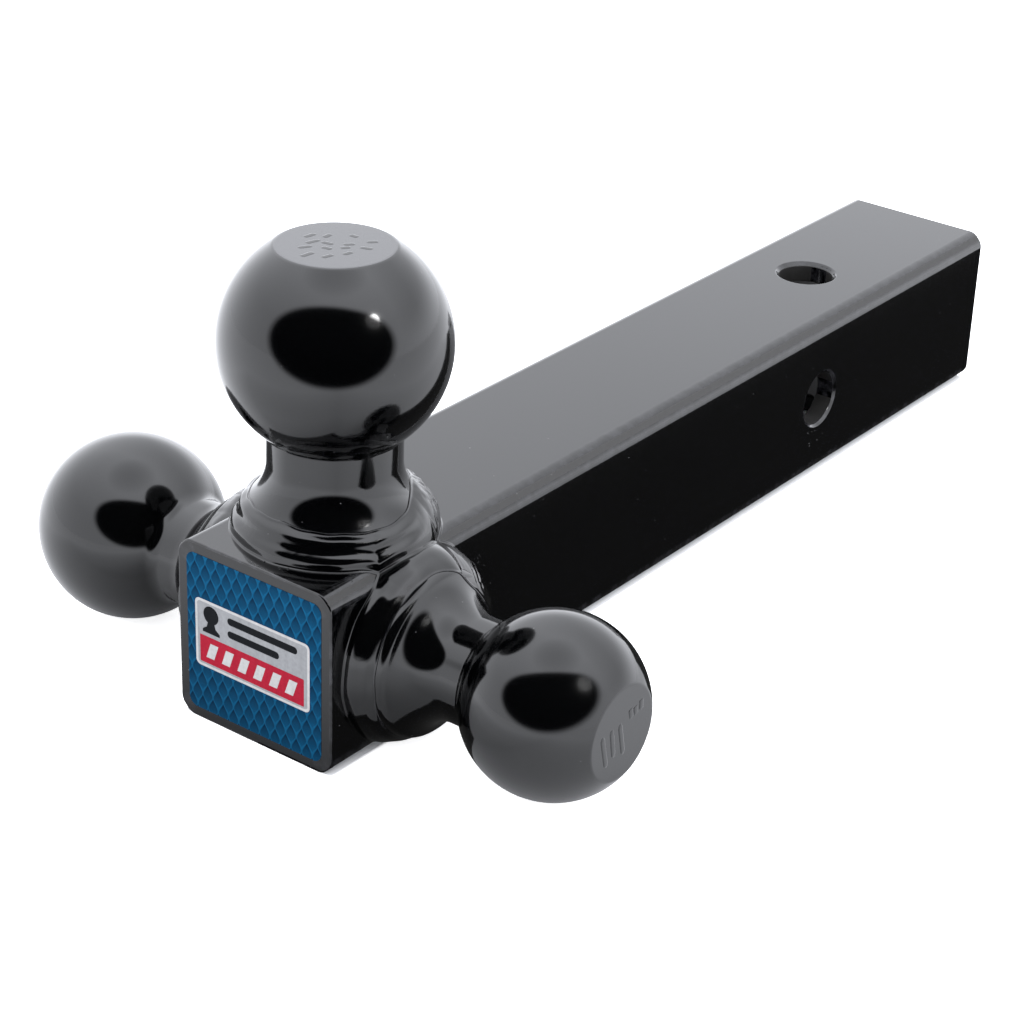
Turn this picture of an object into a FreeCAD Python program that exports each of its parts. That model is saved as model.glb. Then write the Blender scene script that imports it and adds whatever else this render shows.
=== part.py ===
import FreeCAD, Part

import math
import os

# Three-ball hitch mount for a 2 inch receiver, in millimetres.
# A hollow square shank runs along Y. Its front end (-Y) is closed by a plate that carries a label,
# and three forged tow balls are welded round it: one on top (+Z), one on each side (-X and +X).
# The origin is where the side-to-side pin bore crosses the shank's own axis, and +Z is up.

# Shank: square tube, open at the rear
shank_width = 50.8
shank_wall = 6.35
shank_corner_radius = 5.0
shank_inner_radius = 2.0
pin_bore_to_front = 225.0
pin_bore_to_rear = 96.0

# Pin bores for a 5/8 inch hitch pin
pin_bore_diameter = 16.7
pin_bore_chamfer = 1.5
upright_bore_behind = 28.6

# End plate, set in the front mouth and seam welded
plate_thickness = 6.35
plate_gap = 0.15
seam_depth = 3.0

# Printed label on the front face
label_margin = 3.1
label_corner_radius = 3.0
label_thickness = 0.2

# Ball forgings, from the tube face up: a round foot, a hollow flare, a short straight throat, and the
# ball, whose crown is cut off flat
ball_to_front = 30.5
balls = {
    "top_ball": {
        "direction": "up",
        "diameter": 58.74,
        "crown_cut": 4.2,
        "throat_diameter": 34.4,
        "throat_length": 7.0,
        "flare_height": 10.9,
        "foot_diameter": 43.0,
        "foot_height": 7.6,
        "foot_edge_radius": 0.8,
        "weld_leg": 4.8,
    },
    "left_ball": {
        "direction": "left",
        "diameter": 50.8,
        "crown_cut": 3.7,
        "throat_diameter": 28.8,
        "throat_length": 5.5,
        "flare_height": 12.3,
        "foot_diameter": 45.0,
        "foot_height": 7.2,
        "foot_edge_radius": 2.5,
        "weld_leg": 3.8,
    },
    "right_ball": {
        "direction": "right",
        "diameter": 47.63,
        "crown_cut": 3.6,
        "throat_diameter": 28.4,
        "throat_length": 5.0,
        "flare_height": 13.2,
        "foot_diameter": 45.0,
        "foot_height": 7.2,
        "foot_edge_radius": 2.5,
        "weld_leg": 3.8,
    },
}
junction_radius = 1.2
crown_edge_radius = 0.8
weld_crown = 0.6

# Each forging has a pilot that sits in a hole in the tube's wall
pilot_diameter = 20.0
pilot_gap = 0.1

# Values that follow from the ones above
shank_length = pin_bore_to_front + pin_bore_to_rear
half_width = shank_width / 2
bore_width = shank_width - 2 * shank_wall
label_width = shank_width - 2 * label_margin
front_y = -pin_bore_to_front
ball_y = front_y + ball_to_front
X_AXIS = FreeCAD.Vector(1, 0, 0)
Y_AXIS = FreeCAD.Vector(0, 1, 0)
Z_AXIS = FreeCAD.Vector(0, 0, 1)


def point(radius, height):
    """A point of a turned outline, in the XZ plane: radius along X, height along Z."""
    return FreeCAD.Vector(radius, 0, height)


def arc_about(centre, start, end):
    """The shorter arc from start to end, two points at the same distance from centre."""
    radius = (start - centre).Length
    middle = (start + end).multiply(0.5) - centre
    middle.normalize()
    return Part.Arc(start, centre + middle.multiply(radius), end).toShape()


def rounded_square(width, radius, y, length):
    """A square bar along +Y from y, centred on the Y axis, with its four long edges rounded."""
    corner = FreeCAD.Vector(-width / 2, y, -width / 2)
    bar = Part.makeBox(width, length, width, corner)
    long_edges = [
        edge
        for edge in bar.Edges
        if edge.tangentAt(edge.FirstParameter).cross(Y_AXIS).Length < 1e-6
    ]
    return bar.makeFillet(radius, long_edges)


def turned(edges):
    """The solid made by turning a closed outline in the XZ plane right round the Z axis."""
    face = Part.Face(Part.Wire(edges))
    return face.revolve(FreeCAD.Vector(0, 0, 0), Z_AXIS, 360)


def place_on_tube(shape, direction):
    """Move a shape from its own frame (foot at Z = 0, axis +Z) to its side of the tube's front end."""
    placed = shape.copy()
    placed.translate(FreeCAD.Vector(0, 0, half_width))
    turn = {"up": 0, "left": -90, "right": 90}[direction]
    placed.rotate(FreeCAD.Vector(0, 0, 0), Y_AXIS, turn)
    placed.translate(FreeCAD.Vector(0, ball_y, 0))
    return placed


def bored_mouths(axis, y):
    """The cutter for one pin bore right through the tube, with a chamfered mouth at each end."""
    radius = pin_bore_diameter / 2
    centre = FreeCAD.Vector(0, y, 0)
    cutter = Part.makeCylinder(radius, shank_width, centre - axis * half_width, axis)
    for side in (axis, -axis):
        mouth = Part.makeCone(
            radius,
            radius + pin_bore_chamfer,
            pin_bore_chamfer,
            centre + side * (half_width - pin_bore_chamfer),
            side,
        )
        cutter = cutter.fuse(mouth)
    return cutter


def make_shank_tube():
    """The square tube, with its pin bores and the three holes that the balls' pilots sit in."""
    tube = rounded_square(shank_width, shank_corner_radius, front_y, shank_length)
    tube = tube.cut(rounded_square(bore_width, shank_inner_radius, front_y, shank_length))
    tube = tube.cut(bored_mouths(X_AXIS, 0))
    tube = tube.cut(bored_mouths(Z_AXIS, upright_bore_behind))
    pilot_hole = Part.makeCylinder(
        pilot_diameter / 2 + pilot_gap, shank_wall, point(0, -shank_wall), Z_AXIS
    )
    for ball in balls.values():
        tube = tube.cut(place_on_tube(pilot_hole, ball["direction"]))
    return tube


def square_outline(width, y):
    """A sharp-cornered square centred on the Y axis, in the plane at y."""
    reach = width / 2
    corners = [
        FreeCAD.Vector(-reach, y, -reach),
        FreeCAD.Vector(reach, y, -reach),
        FreeCAD.Vector(reach, y, reach),
        FreeCAD.Vector(-reach, y, reach),
    ]
    return Part.makePolygon(corners + corners[:1])


def make_end_plate():
    """The plate that closes the front mouth, its front edge bevelled at 45 degrees for the weld."""
    width = bore_width - 2 * plate_gap
    plate = rounded_square(width, shank_inner_radius - plate_gap, front_y, plate_thickness)
    front_width = width - 2 * seam_depth
    bevel = Part.makeLoft(
        [
            square_outline(front_width, front_y),
            square_outline(front_width + 2 * plate_thickness, front_y + plate_thickness),
        ],
        True,
        True,
    )
    return plate.common(bevel)


def make_end_plate_weld(end_plate):
    """The seam weld in the groove between plate and tube, ground flush with the front face."""
    mouth = rounded_square(bore_width, shank_inner_radius, front_y, seam_depth)
    return mouth.cut(end_plate)


def make_label():
    """The printed film on the front face."""
    return rounded_square(
        label_width, label_corner_radius, front_y - label_thickness, label_thickness
    )


def ball_outline(ball):
    """Half of a ball forging's section, from the pilot's bottom up to the flat on the crown."""
    radius = ball["diameter"] / 2
    throat = ball["throat_diameter"] / 2
    foot = ball["foot_diameter"] / 2
    foot_height = ball["foot_height"]
    edge_radius = ball["foot_edge_radius"]
    throat_start = foot_height + ball["flare_height"]
    throat_end = throat_start + ball["throat_length"]

    # The foot's rounded edge, and the arc of the flare that runs from it into the throat
    edge_centre = point(foot - edge_radius, foot_height)
    inset = edge_centre.x - throat
    flare_radius = inset**2 + ball["flare_height"] ** 2 - edge_radius**2
    flare_radius /= 2 * (edge_radius + inset)
    flare_centre = point(throat + flare_radius, throat_start)
    towards_flare = flare_centre - edge_centre
    towards_flare.normalize()
    flare_start = edge_centre + towards_flare * edge_radius
    flare_end = point(throat, throat_start)

    # The small fillet between throat and sphere, which sets how high the sphere's centre is
    fillet_reach = radius + junction_radius
    fillet_centre = point(throat + junction_radius, throat_end)
    centre = point(0, throat_end + math.sqrt(fillet_reach**2 - fillet_centre.x**2))
    fillet_start = point(throat, throat_end)
    fillet_end = centre + (fillet_centre - centre) * (radius / fillet_reach)
    widest = centre + X_AXIS * radius

    # The flat on the crown, and its rounded edge
    crown_z = centre.z + radius - ball["crown_cut"]
    edge_reach = radius - crown_edge_radius
    edge_rise = crown_z - crown_edge_radius - centre.z
    crown_centre = point(math.sqrt(edge_reach**2 - edge_rise**2), crown_z - crown_edge_radius)
    crown_start = centre + (crown_centre - centre) * (radius / edge_reach)
    crown_end = point(crown_centre.x, crown_z)

    pilot = pilot_diameter / 2
    corners = [
        point(0, crown_z),
        point(0, -shank_wall),
        point(pilot, -shank_wall),
        point(pilot, 0),
        point(foot, 0),
        point(foot, foot_height),
    ]
    edges = [Part.makeLine(a, b) for a, b in zip(corners, corners[1:])]
    edges.append(arc_about(edge_centre, corners[-1], flare_start))
    edges.append(arc_about(flare_centre, flare_start, flare_end))
    edges.append(Part.makeLine(flare_end, fillet_start))
    edges.append(arc_about(fillet_centre, fillet_start, fillet_end))
    edges.append(arc_about(centre, fillet_end, widest))
    edges.append(arc_about(centre, widest, crown_start))
    edges.append(arc_about(crown_centre, crown_start, crown_end))
    edges.append(Part.makeLine(crown_end, corners[0]))
    return edges


def make_ball(ball):
    """One ball forging, on its side of the tube."""
    return place_on_tube(turned(ball_outline(ball)), ball["direction"])


def corner_wedge(reach):
    """The space over one face of the tube, between the planes through its two corners."""
    corners = [
        FreeCAD.Vector(0, -reach, 0),
        FreeCAD.Vector(-reach, -reach, reach),
        FreeCAD.Vector(reach, -reach, reach),
    ]
    wedge = Part.Face(Part.makePolygon(corners + corners[:1])).extrude(Y_AXIS * 2 * reach)
    wedge.translate(FreeCAD.Vector(0, 0, -half_width))
    return wedge


def make_ball_weld(ball, tube_bar, neighbours):
    """The fillet weld round a ball's foot.

    It follows the tube's rounded corners. It ends where a neighbouring ball's weld begins, on the
    plane through the tube's corner, and it stops at the tube's lower face and at its front end.
    """
    inner = ball["foot_diameter"] / 2
    outer = inner + ball["weld_leg"]
    height = ball["foot_height"]
    slope = math.hypot(ball["weld_leg"], height)
    crown_point = point(
        (inner + outer) / 2 + weld_crown * height / slope,
        height / 2 + weld_crown * ball["weld_leg"] / slope,
    )
    corners = [
        point(inner, height),
        point(inner, -shank_corner_radius),
        point(outer, -shank_corner_radius),
        point(outer, 0),
    ]
    edges = [Part.makeLine(a, b) for a, b in zip(corners, corners[1:])]
    edges.append(Part.Arc(corners[-1], crown_point, corners[0]).toShape())
    reach = 2 * outer
    weld = place_on_tube(turned(edges), ball["direction"]).cut(tube_bar)
    weld = weld.common(place_on_tube(corner_wedge(reach), ball["direction"]))
    room = FreeCAD.Vector(-2 * reach, front_y, -half_width)
    weld = weld.common(Part.makeBox(4 * reach, 2 * reach, 2 * reach, room))
    for neighbour in neighbours:
        weld = weld.cut(neighbour)
    return weld


def build_parts():
    """Every piece of the hitch mount, by node name."""
    end_plate = make_end_plate()
    forgings = {name: make_ball(ball) for name, ball in balls.items()}
    parts = {
        "shank_tube": make_shank_tube(),
        "end_plate": end_plate,
        "end_plate_weld": make_end_plate_weld(end_plate),
        "label": make_label(),
    }
    parts.update(forgings)
    tube_bar = rounded_square(shank_width, shank_corner_radius, front_y, shank_length)
    for name, ball in balls.items():
        neighbours = [forging for other, forging in forgings.items() if other != name]
        parts[name + "_weld"] = make_ball_weld(ball, tube_bar, neighbours)
    return parts


os.makedirs("parts", exist_ok=True)
for node, shape in build_parts().items():
    shape.exportStep("parts/" + node + ".step")
    print(node, "solids", len(shape.Solids), "valid", shape.isValid(), "volume", round(shape.Volume, 1))
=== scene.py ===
"""A three-ball trailer hitch mount: its looks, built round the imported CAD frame.

The frame's own coordinates are used throughout. The origin is where the side-to-side pin bore crosses
the shank's axis, +Y runs to the shank's open rear end, and +Z is up. Sizes are in metres.
"""

import logging
import math
from collections.abc import Callable, Sequence
from dataclasses import dataclass, field
from enum import Enum

import bmesh
import bpy
import numpy as np
from mathutils import Matrix, Vector


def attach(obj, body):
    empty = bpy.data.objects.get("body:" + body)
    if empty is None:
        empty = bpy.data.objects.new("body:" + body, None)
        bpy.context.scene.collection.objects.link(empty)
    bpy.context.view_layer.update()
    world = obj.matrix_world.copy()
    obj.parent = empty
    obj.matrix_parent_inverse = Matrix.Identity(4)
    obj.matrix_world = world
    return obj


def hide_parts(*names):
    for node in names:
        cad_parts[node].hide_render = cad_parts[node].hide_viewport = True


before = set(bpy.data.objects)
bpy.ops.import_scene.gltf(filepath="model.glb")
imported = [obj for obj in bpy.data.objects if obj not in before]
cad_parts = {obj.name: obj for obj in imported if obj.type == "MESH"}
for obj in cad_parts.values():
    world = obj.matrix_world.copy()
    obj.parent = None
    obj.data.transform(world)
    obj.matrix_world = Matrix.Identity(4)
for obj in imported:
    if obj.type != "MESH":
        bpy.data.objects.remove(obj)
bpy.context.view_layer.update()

log = logging.getLogger("hitch")

MM = 0.001
HALF_WIDTH = 25.4 * MM
CORNER_CUT = 3.05 * MM
CORNER_ROUND = 3.9 * MM
FRONT_Y = -225.0 * MM
REAR_Y = 96.0 * MM
BALL_Y = FRONT_Y + 30.5 * MM
DUST_ROUGHNESS = 0.3
PAINT_IOR = 1.5
FILM_IOR = 1.45
FILM_GLOSS = 0.02

Colour = tuple[float, float, float]
Socket = bpy.types.NodeSocket
Points = np.ndarray


# ---------------------------------------------------------------------------------------------
# Node helpers
# ---------------------------------------------------------------------------------------------


class Graph:
    """A node tree, written one node at a time.

    Attributes:
        tree: The node tree that the nodes go into.
    """

    def __init__(self, tree: bpy.types.NodeTree) -> None:
        """Start on a tree, emptying it first."""
        self.tree = tree
        tree.nodes.clear()

    def add(
        self, kind: str, inputs: dict[str | int, object] | None = None, **settings: object
    ) -> bpy.types.Node:
        """Add one node.

        Args:
            kind: The node's Blender type name.
            inputs: For each input, by name or number, the socket that feeds it or its value.
            **settings: The node's own properties.

        Returns:
            The new node.
        """
        node = self.tree.nodes.new(kind)
        for key, value in settings.items():
            setattr(node, key, value)
        for key, value in (inputs or {}).items():
            if isinstance(value, bpy.types.NodeSocket):
                self.tree.links.new(value, node.inputs[key])
            else:
                node.inputs[key].default_value = value
        return node

    def math(self, operation: str, *values: object) -> Socket:
        """The result of one scalar operation on sockets or numbers."""
        kind = "ShaderNodeMath"
        return self.add(kind, dict(enumerate(values)), operation=operation).outputs[0]

    def place(self) -> Socket:
        """The place on the object, in its own coordinates."""
        return self.add("ShaderNodeTexCoord").outputs["Object"]

    def noise(self, place: Socket, scale: object, detail: float) -> Socket:
        """The value of one noise texture."""
        inputs = {"Vector": place, "Scale": scale, "Detail": detail}
        return self.add("ShaderNodeTexNoise", inputs).outputs[0]

    def scaled(self, vector: object, factor: object) -> Socket:
        """A vector or a colour, times a number."""
        return self.add("ShaderNodeVectorMath", {0: vector, 3: factor}, operation="SCALE").outputs[0]

    def bump(self, height: Socket, distance: float, under: Socket | None = None) -> Socket:
        """The normal that a height makes.

        Args:
            height: The height, 0 to 1.
            distance: How high 1 stands.
            under: A normal that it adds to.

        Returns:
            The normal.
        """
        inputs = {"Distance": distance, "Height": height}
        if under is not None:
            inputs["Normal"] = under
        return self.add("ShaderNodeBump", inputs).outputs[0]

    def mix(self, factor: object, a: object, b: object) -> Socket:
        """A colour between a and b."""
        inputs = {0: factor, 6: a, 7: b}
        return self.add("ShaderNodeMix", inputs, data_type="RGBA").outputs[2]

    def ramp(self, value: Socket, low: float, high: float, start: float = 0.0, end: float = 1.0) -> Socket:
        """A clamped straight ramp of value from low..high to start..end."""
        inputs = {0: value, 1: low, 2: high, 3: start, 4: end}
        return self.add("ShaderNodeMapRange", inputs, clamp=True).outputs[0]


def new_group(
    name: str, kind: str, inputs: Sequence[tuple[str, str, object]], outputs: Sequence[tuple[str, str]]
) -> tuple[Graph, bpy.types.Node, bpy.types.Node]:
    """Make an empty node group with its sockets.

    Args:
        name: The group's name.
        kind: "ShaderNodeTree" or "GeometryNodeTree".
        inputs: Name, socket type and default value of each input.
        outputs: Name and socket type of each output.

    Returns:
        The group's graph, its input node and its output node.
    """
    tree = bpy.data.node_groups.new(name, kind)
    for label, socket_type, default in inputs:
        socket = tree.interface.new_socket(label, in_out="INPUT", socket_type=socket_type)
        if default is not None:
            socket.default_value = default
    for label, socket_type in outputs:
        tree.interface.new_socket(label, in_out="OUTPUT", socket_type=socket_type)
    graph = Graph(tree)
    return graph, graph.add("NodeGroupInput"), graph.add("NodeGroupOutput")


def input_identifier(tree: bpy.types.NodeTree, name: str) -> str:
    """The identifier of a group's input, from its name.

    Args:
        tree: The group.
        name: The input's name.

    Returns:
        The identifier.
    """
    return next(
        item.identifier
        for item in tree.interface.items_tree
        if item.item_type == "SOCKET" and item.in_out == "INPUT" and item.name == name
    )


def close_tree(
    graph: Graph, given: bpy.types.Node, result: bpy.types.Node, geometry: Socket
) -> bpy.types.NodeTree:
    """End a geometry tree: make its instances real and give them the tree's material.

    Args:
        graph: The tree's graph.
        given: Its input node, with an input named "Material".
        result: Its output node.
        geometry: What comes out.

    Returns:
        The tree.
    """
    real = graph.add("GeometryNodeRealizeInstances", {0: geometry}).outputs[0]
    painted = graph.add("GeometryNodeSetMaterial", {0: real, "Material": given.outputs["Material"]})
    graph.tree.links.new(painted.outputs[0], result.inputs[0])
    return graph.tree


# ---------------------------------------------------------------------------------------------
# Shared shader effects
# ---------------------------------------------------------------------------------------------


class Effects:
    """The shader groups that several finishes share.

    Attributes:
        peel: Height of the slight waviness of sprayed paint.
        dust: Mask of fine specks of dust that sit in or on a finish.
        wear: Mask of the narrow convex edges where paint is thin.
        lines: Height of fine drawn lines along one direction.
    """

    def __init__(self) -> None:
        """Build every group."""
        self.peel = self._peel()
        self.dust = self._dust()
        self.wear = self._wear()
        self.lines = self._lines()

    def _peel(self) -> bpy.types.NodeTree:
        """Two sizes of soft noise, added.

        Returns:
            The group.
        """
        inputs = [("Size", "NodeSocketFloat", 0.004), ("Fine share", "NodeSocketFloat", 0.25)]
        graph, given, result = new_group(
            "paint_peel", "ShaderNodeTree", inputs, [("Height", "NodeSocketFloat")]
        )
        place = graph.place()
        scale = graph.math("DIVIDE", 1.0, given.outputs["Size"])
        broad = graph.noise(place, scale, 1.0)
        fine_scale = graph.math("MULTIPLY", scale, 3.7)
        fine = graph.noise(place, fine_scale, 1.0)
        height = graph.math("MULTIPLY_ADD", fine, given.outputs["Fine share"], broad)
        graph.tree.links.new(height, result.inputs["Height"])
        return graph.tree

    def _dust(self) -> bpy.types.NodeTree:
        """Small irregular specks, thicker in some places than in others.

        Returns:
            The group.
        """
        inputs = [("Spacing", "NodeSocketFloat", 0.003), ("Amount", "NodeSocketFloat", 0.5)]
        graph, given, result = new_group(
            "dust_specks", "ShaderNodeTree", inputs, [("Mask", "NodeSocketFloat")]
        )
        place = graph.place()
        warp = graph.add("ShaderNodeTexNoise", {"Vector": place, "Scale": 900.0, "Detail": 1.0})
        shift = graph.scaled(warp.outputs[1], 0.0006)
        bent = graph.add("ShaderNodeVectorMath", {0: place, 1: shift}, operation="ADD").outputs[0]
        scale = graph.math("DIVIDE", 1.0, given.outputs["Spacing"])
        cells = graph.add("ShaderNodeTexVoronoi", {"Vector": bent, "Scale": scale})
        shade = graph.add("ShaderNodeSeparateColor", {0: cells.outputs["Color"]})
        reach = graph.math("MULTIPLY", shade.outputs[0], 0.075)
        speck = graph.math("LESS_THAN", cells.outputs["Distance"], reach)
        chosen = graph.math("LESS_THAN", shade.outputs[1], given.outputs["Amount"])
        patches = graph.noise(place, 28.0, 2.0)
        patchy = graph.ramp(patches, 0.38, 0.62, 0.15, 1.0)
        mask = graph.math("MULTIPLY", graph.math("MULTIPLY", speck, chosen), patchy)
        graph.tree.links.new(mask, result.inputs["Mask"])
        return graph.tree

    def _wear(self) -> bpy.types.NodeTree:
        """The stored edge attribute, broken up by noise.

        Returns:
            The group.
        """
        inputs = [("Amount", "NodeSocketFloat", 0.5)]
        graph, given, result = new_group(
            "edge_wear", "ShaderNodeTree", inputs, [("Mask", "NodeSocketFloat")]
        )
        place = graph.place()
        edge = graph.add("ShaderNodeAttribute", attribute_name="edge").outputs["Fac"]
        noise = graph.noise(place, 420.0, 4.0)
        broken = graph.ramp(noise, 0.42, 0.66)
        mask = graph.math("MULTIPLY", graph.math("MULTIPLY", edge, broken), given.outputs["Amount"])
        graph.tree.links.new(mask, result.inputs["Mask"])
        return graph.tree

    def _lines(self) -> bpy.types.NodeTree:
        """Noise stretched along one axis, chosen by the three scales.

        Returns:
            The group.
        """
        inputs = [("Scales", "NodeSocketVector", (600.0, 8.0, 600.0))]
        graph, given, result = new_group(
            "drawn_lines", "ShaderNodeTree", inputs, [("Height", "NodeSocketFloat")]
        )
        place = graph.place()
        stretched = graph.add(
            "ShaderNodeVectorMath", {0: place, 1: given.outputs["Scales"]}, operation="MULTIPLY"
        )
        noise = graph.add(
            "ShaderNodeTexNoise", {"Vector": stretched.outputs[0], "Scale": 1.0, "Detail": 3.0}
        )
        graph.tree.links.new(noise.outputs[0], result.inputs["Height"])
        return graph.tree


# ---------------------------------------------------------------------------------------------
# Finishes
# ---------------------------------------------------------------------------------------------


def new_material(name: str) -> tuple[bpy.types.Material, Graph]:
    """A material with an empty node graph.

    Args:
        name: The material's name.

    Returns:
        The material and its graph.
    """
    material = bpy.data.materials.new(name)
    material.use_nodes = True
    return material, Graph(material.node_tree)


def finish_material(graph: Graph, inputs: dict[str | int, object]) -> bpy.types.Node:
    """Close a graph with one Principled shader, and return it.

    Args:
        graph: The material's graph.
        inputs: The shader's inputs.

    Returns:
        The shader node.
    """
    shader = graph.add("ShaderNodeBsdfPrincipled", inputs)
    graph.add("ShaderNodeOutputMaterial", {"Surface": shader.outputs[0]})
    return shader


@dataclass(frozen=True)
class GlossPaint:
    """Sprayed gloss enamel, with peel, dust and thin paint on its edges.

    Attributes:
        name: Name of the material.
        colour: Colour of the paint.
        thin_colour: Colour where the paint is thin over an edge.
        dust_colour: Colour of the dust specks.
        roughness: Lowest and highest roughness.
        peel_size: Width of one wave of the peel.
        peel_height: Height of the peel.
        dust: Share of the dust cells that hold a speck.
        dust_spacing: Distance between dust cells.
        wear: How strongly edges show.
        lines: Scales of the drawn lines along X, Y and Z.
        lines_height: Height of the drawn lines.
        haze: Colour and roughness of dry overspray, on faces with the attribute "haze".
        sheltered: Colour and roughness of the thin paint on faces with the attribute "sheltered".
    """

    name: str
    colour: Colour = (0.0003, 0.00035, 0.0005)
    thin_colour: Colour = (0.03, 0.03, 0.034)
    dust_colour: Colour = (0.09, 0.09, 0.09)
    roughness: tuple[float, float] = (0.075, 0.1)
    peel_size: float = 4.0 * MM
    peel_height: float = 0.004 * MM
    dust: float = 0.3
    dust_spacing: float = 2.2 * MM
    wear: float = 0.5
    lines: Colour = (500.0, 10.0, 500.0)
    lines_height: float = 0.0
    haze: tuple[Colour, float] = ((0.045, 0.045, 0.047), 0.12)
    sheltered: tuple[Colour, float] = ((0.006, 0.0054, 0.0048), 0.45)

    def build(self, effects: Effects) -> bpy.types.Material:
        """The finished material.

        Args:
            effects: The shared effects.

        Returns:
            The material.
        """
        material, graph = new_material(self.name)
        place = graph.place()
        dust_inputs = {"Spacing": self.dust_spacing, "Amount": self.dust}
        dust = graph.add("ShaderNodeGroup", dust_inputs, node_tree=effects.dust).outputs["Mask"]
        wear = graph.add("ShaderNodeGroup", {"Amount": self.wear}, node_tree=effects.wear).outputs["Mask"]
        peel = graph.add(
            "ShaderNodeGroup", {"Size": self.peel_size}, node_tree=effects.peel
        ).outputs["Height"]

        cloud = graph.noise(place, 45.0, 4.0)
        deeper = tuple(0.6 * c for c in self.colour) + (1.0,)
        base = graph.mix(cloud, deeper, self.colour + (1.0,))
        thin = graph.mix(wear, base, self.thin_colour + (1.0,))
        hazy = graph.add("ShaderNodeAttribute", attribute_name="haze").outputs["Fac"]
        inside = graph.add("ShaderNodeAttribute", attribute_name="sheltered").outputs["Fac"]
        thin = graph.mix(hazy, thin, self.haze[0] + (1.0,))
        thin = graph.mix(inside, thin, self.sheltered[0] + (1.0,))
        colour = graph.mix(dust, thin, self.dust_colour + (1.0,))
        smudge = graph.noise(place, 26.0, 2.0)
        rough = graph.ramp(smudge, 0.3, 0.7, *self.roughness)
        for mask, more in (
            (dust, DUST_ROUGHNESS), (wear, 0.12), (hazy, self.haze[1]), (inside, self.sheltered[1])
        ):
            rough = graph.math("MULTIPLY_ADD", mask, more, rough)

        normal = graph.bump(peel, self.peel_height)
        if self.lines_height:
            lines = graph.add("ShaderNodeGroup", {"Scales": self.lines}, node_tree=effects.lines)
            normal = graph.bump(lines.outputs["Height"], self.lines_height, normal)
        normal = graph.bump(dust, 0.003 * MM, normal)
        shader = finish_material(graph, {"Base Color": colour, "Roughness": rough, "Normal": normal})
        shader.inputs["IOR"].default_value = PAINT_IOR
        return material


@dataclass(frozen=True)
class PrintedScales:
    """Glossy printed film: a blue field of overlapping scales, lighter along their edges.

    Attributes:
        name: Name of the material.
        line_colour: Colour of the lines between scales.
        field_colours: Colour of a scale at its foot and at its tip.
        low_shade: How much darker the print is at the film's bottom edge.
        pitch: Width of a scale and distance between rows of scales.
        line_width: Half width of a line, as a share of a scale's width.
        roughness: Roughness of the film.
        height: Half height of the film.
    """

    name: str = "printed_film_scales"
    line_colour: Colour = (0.0026, 0.053, 0.115)
    field_colours: tuple[Colour, Colour] = ((0.0018, 0.036, 0.08), (0.0008, 0.010, 0.026))
    low_shade: float = 0.8
    pitch: tuple[float, float] = (3.53 * MM, 3.5 * MM)
    line_width: float = 0.055
    roughness: float = 0.3
    height: float = 22.3 * MM

    def build(self, effects: Effects) -> bpy.types.Material:
        """The finished material.

        Args:
            effects: The shared effects.

        Returns:
            The material.
        """
        material, graph = new_material(self.name)
        place = graph.place()
        axes = graph.add("ShaderNodeSeparateXYZ", {0: place}).outputs
        column = graph.math("DIVIDE", axes[0], self.pitch[0])
        row = graph.math("DIVIDE", axes[2], self.pitch[1])
        even = self._scale(graph, column, row, 0.0)
        odd = self._scale(graph, column, row, 0.5)
        inside = graph.math("MAXIMUM", even[0], odd[0])
        use_odd = graph.math("GREATER_THAN", odd[0], even[0])
        level = graph.add("ShaderNodeMix", {0: use_odd, 2: even[1], 3: odd[1]}).outputs[0]
        edge = graph.ramp(inside, 2.2 * self.line_width, 0.6 * self.line_width)
        hollow = graph.ramp(inside, 0.0, 5.0 * self.line_width, 1.25, 0.75)
        depth = graph.math("MULTIPLY", graph.ramp(level, 0.25, 0.8), hollow)
        body = graph.mix(depth, self.field_colours[0] + (1.0,), self.field_colours[1] + (1.0,))
        printed = graph.mix(edge, body, self.line_colour + (1.0,))
        fall = graph.ramp(axes[2], -self.height, self.height, self.low_shade, 1.0)
        noise = graph.noise(place, 900.0, 3.0)
        grain = graph.ramp(noise, 0.2, 0.8, 0.9, 1.08)
        shade = graph.math("MULTIPLY", fall, grain)
        colour = graph.scaled(printed, shade)
        dust = graph.add("ShaderNodeGroup", {}, node_tree=effects.dust).outputs["Mask"]
        peel = graph.add("ShaderNodeGroup", {"Size": 6.0 * MM}, node_tree=effects.peel).outputs["Height"]
        rough = graph.math("MULTIPLY_ADD", dust, DUST_ROUGHNESS, self.roughness)
        normal = graph.bump(edge, 0.012 * MM, graph.bump(peel, 0.006 * MM))
        shader = finish_material(graph, {"Base Color": colour, "Roughness": rough, "Normal": normal})
        shader.inputs["IOR"].default_value = FILM_IOR
        shader.inputs["Specular IOR Level"].default_value = FILM_GLOSS
        return material

    def _scale(self, graph: Graph, column: Socket, row: Socket, shift: float) -> tuple[Socket, Socket]:
        """One of the two sets of scales.

        Args:
            graph: The material's graph.
            column: Place across, in scales.
            row: Place up, in rows.
            shift: Half a scale for the second set.

        Returns:
            How deep inside its scale a place is, in scale widths, and its level up the scale.
        """
        across = graph.math("SUBTRACT", graph.math("FRACT", graph.math("ADD", column, shift + 100.5)), 0.5)
        half_row = graph.math("MULTIPLY", row, 0.5)
        up = graph.math("SUBTRACT", graph.math("FRACT", graph.math("ADD", half_row, shift + 100.5)), 0.5)
        level = graph.ramp(up, -0.5, 0.5)
        angle = graph.math("MULTIPLY", up, 2.0 * math.pi)
        swell = graph.math("MULTIPLY_ADD", graph.math("COSINE", angle), 0.25, 0.25)
        lean = graph.math(
            "MULTIPLY_ADD", graph.math("SINE", graph.math("MULTIPLY", angle, 2.0)), -0.03, swell
        )
        return graph.math("SUBTRACT", lean, graph.math("ABSOLUTE", across)), level


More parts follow.
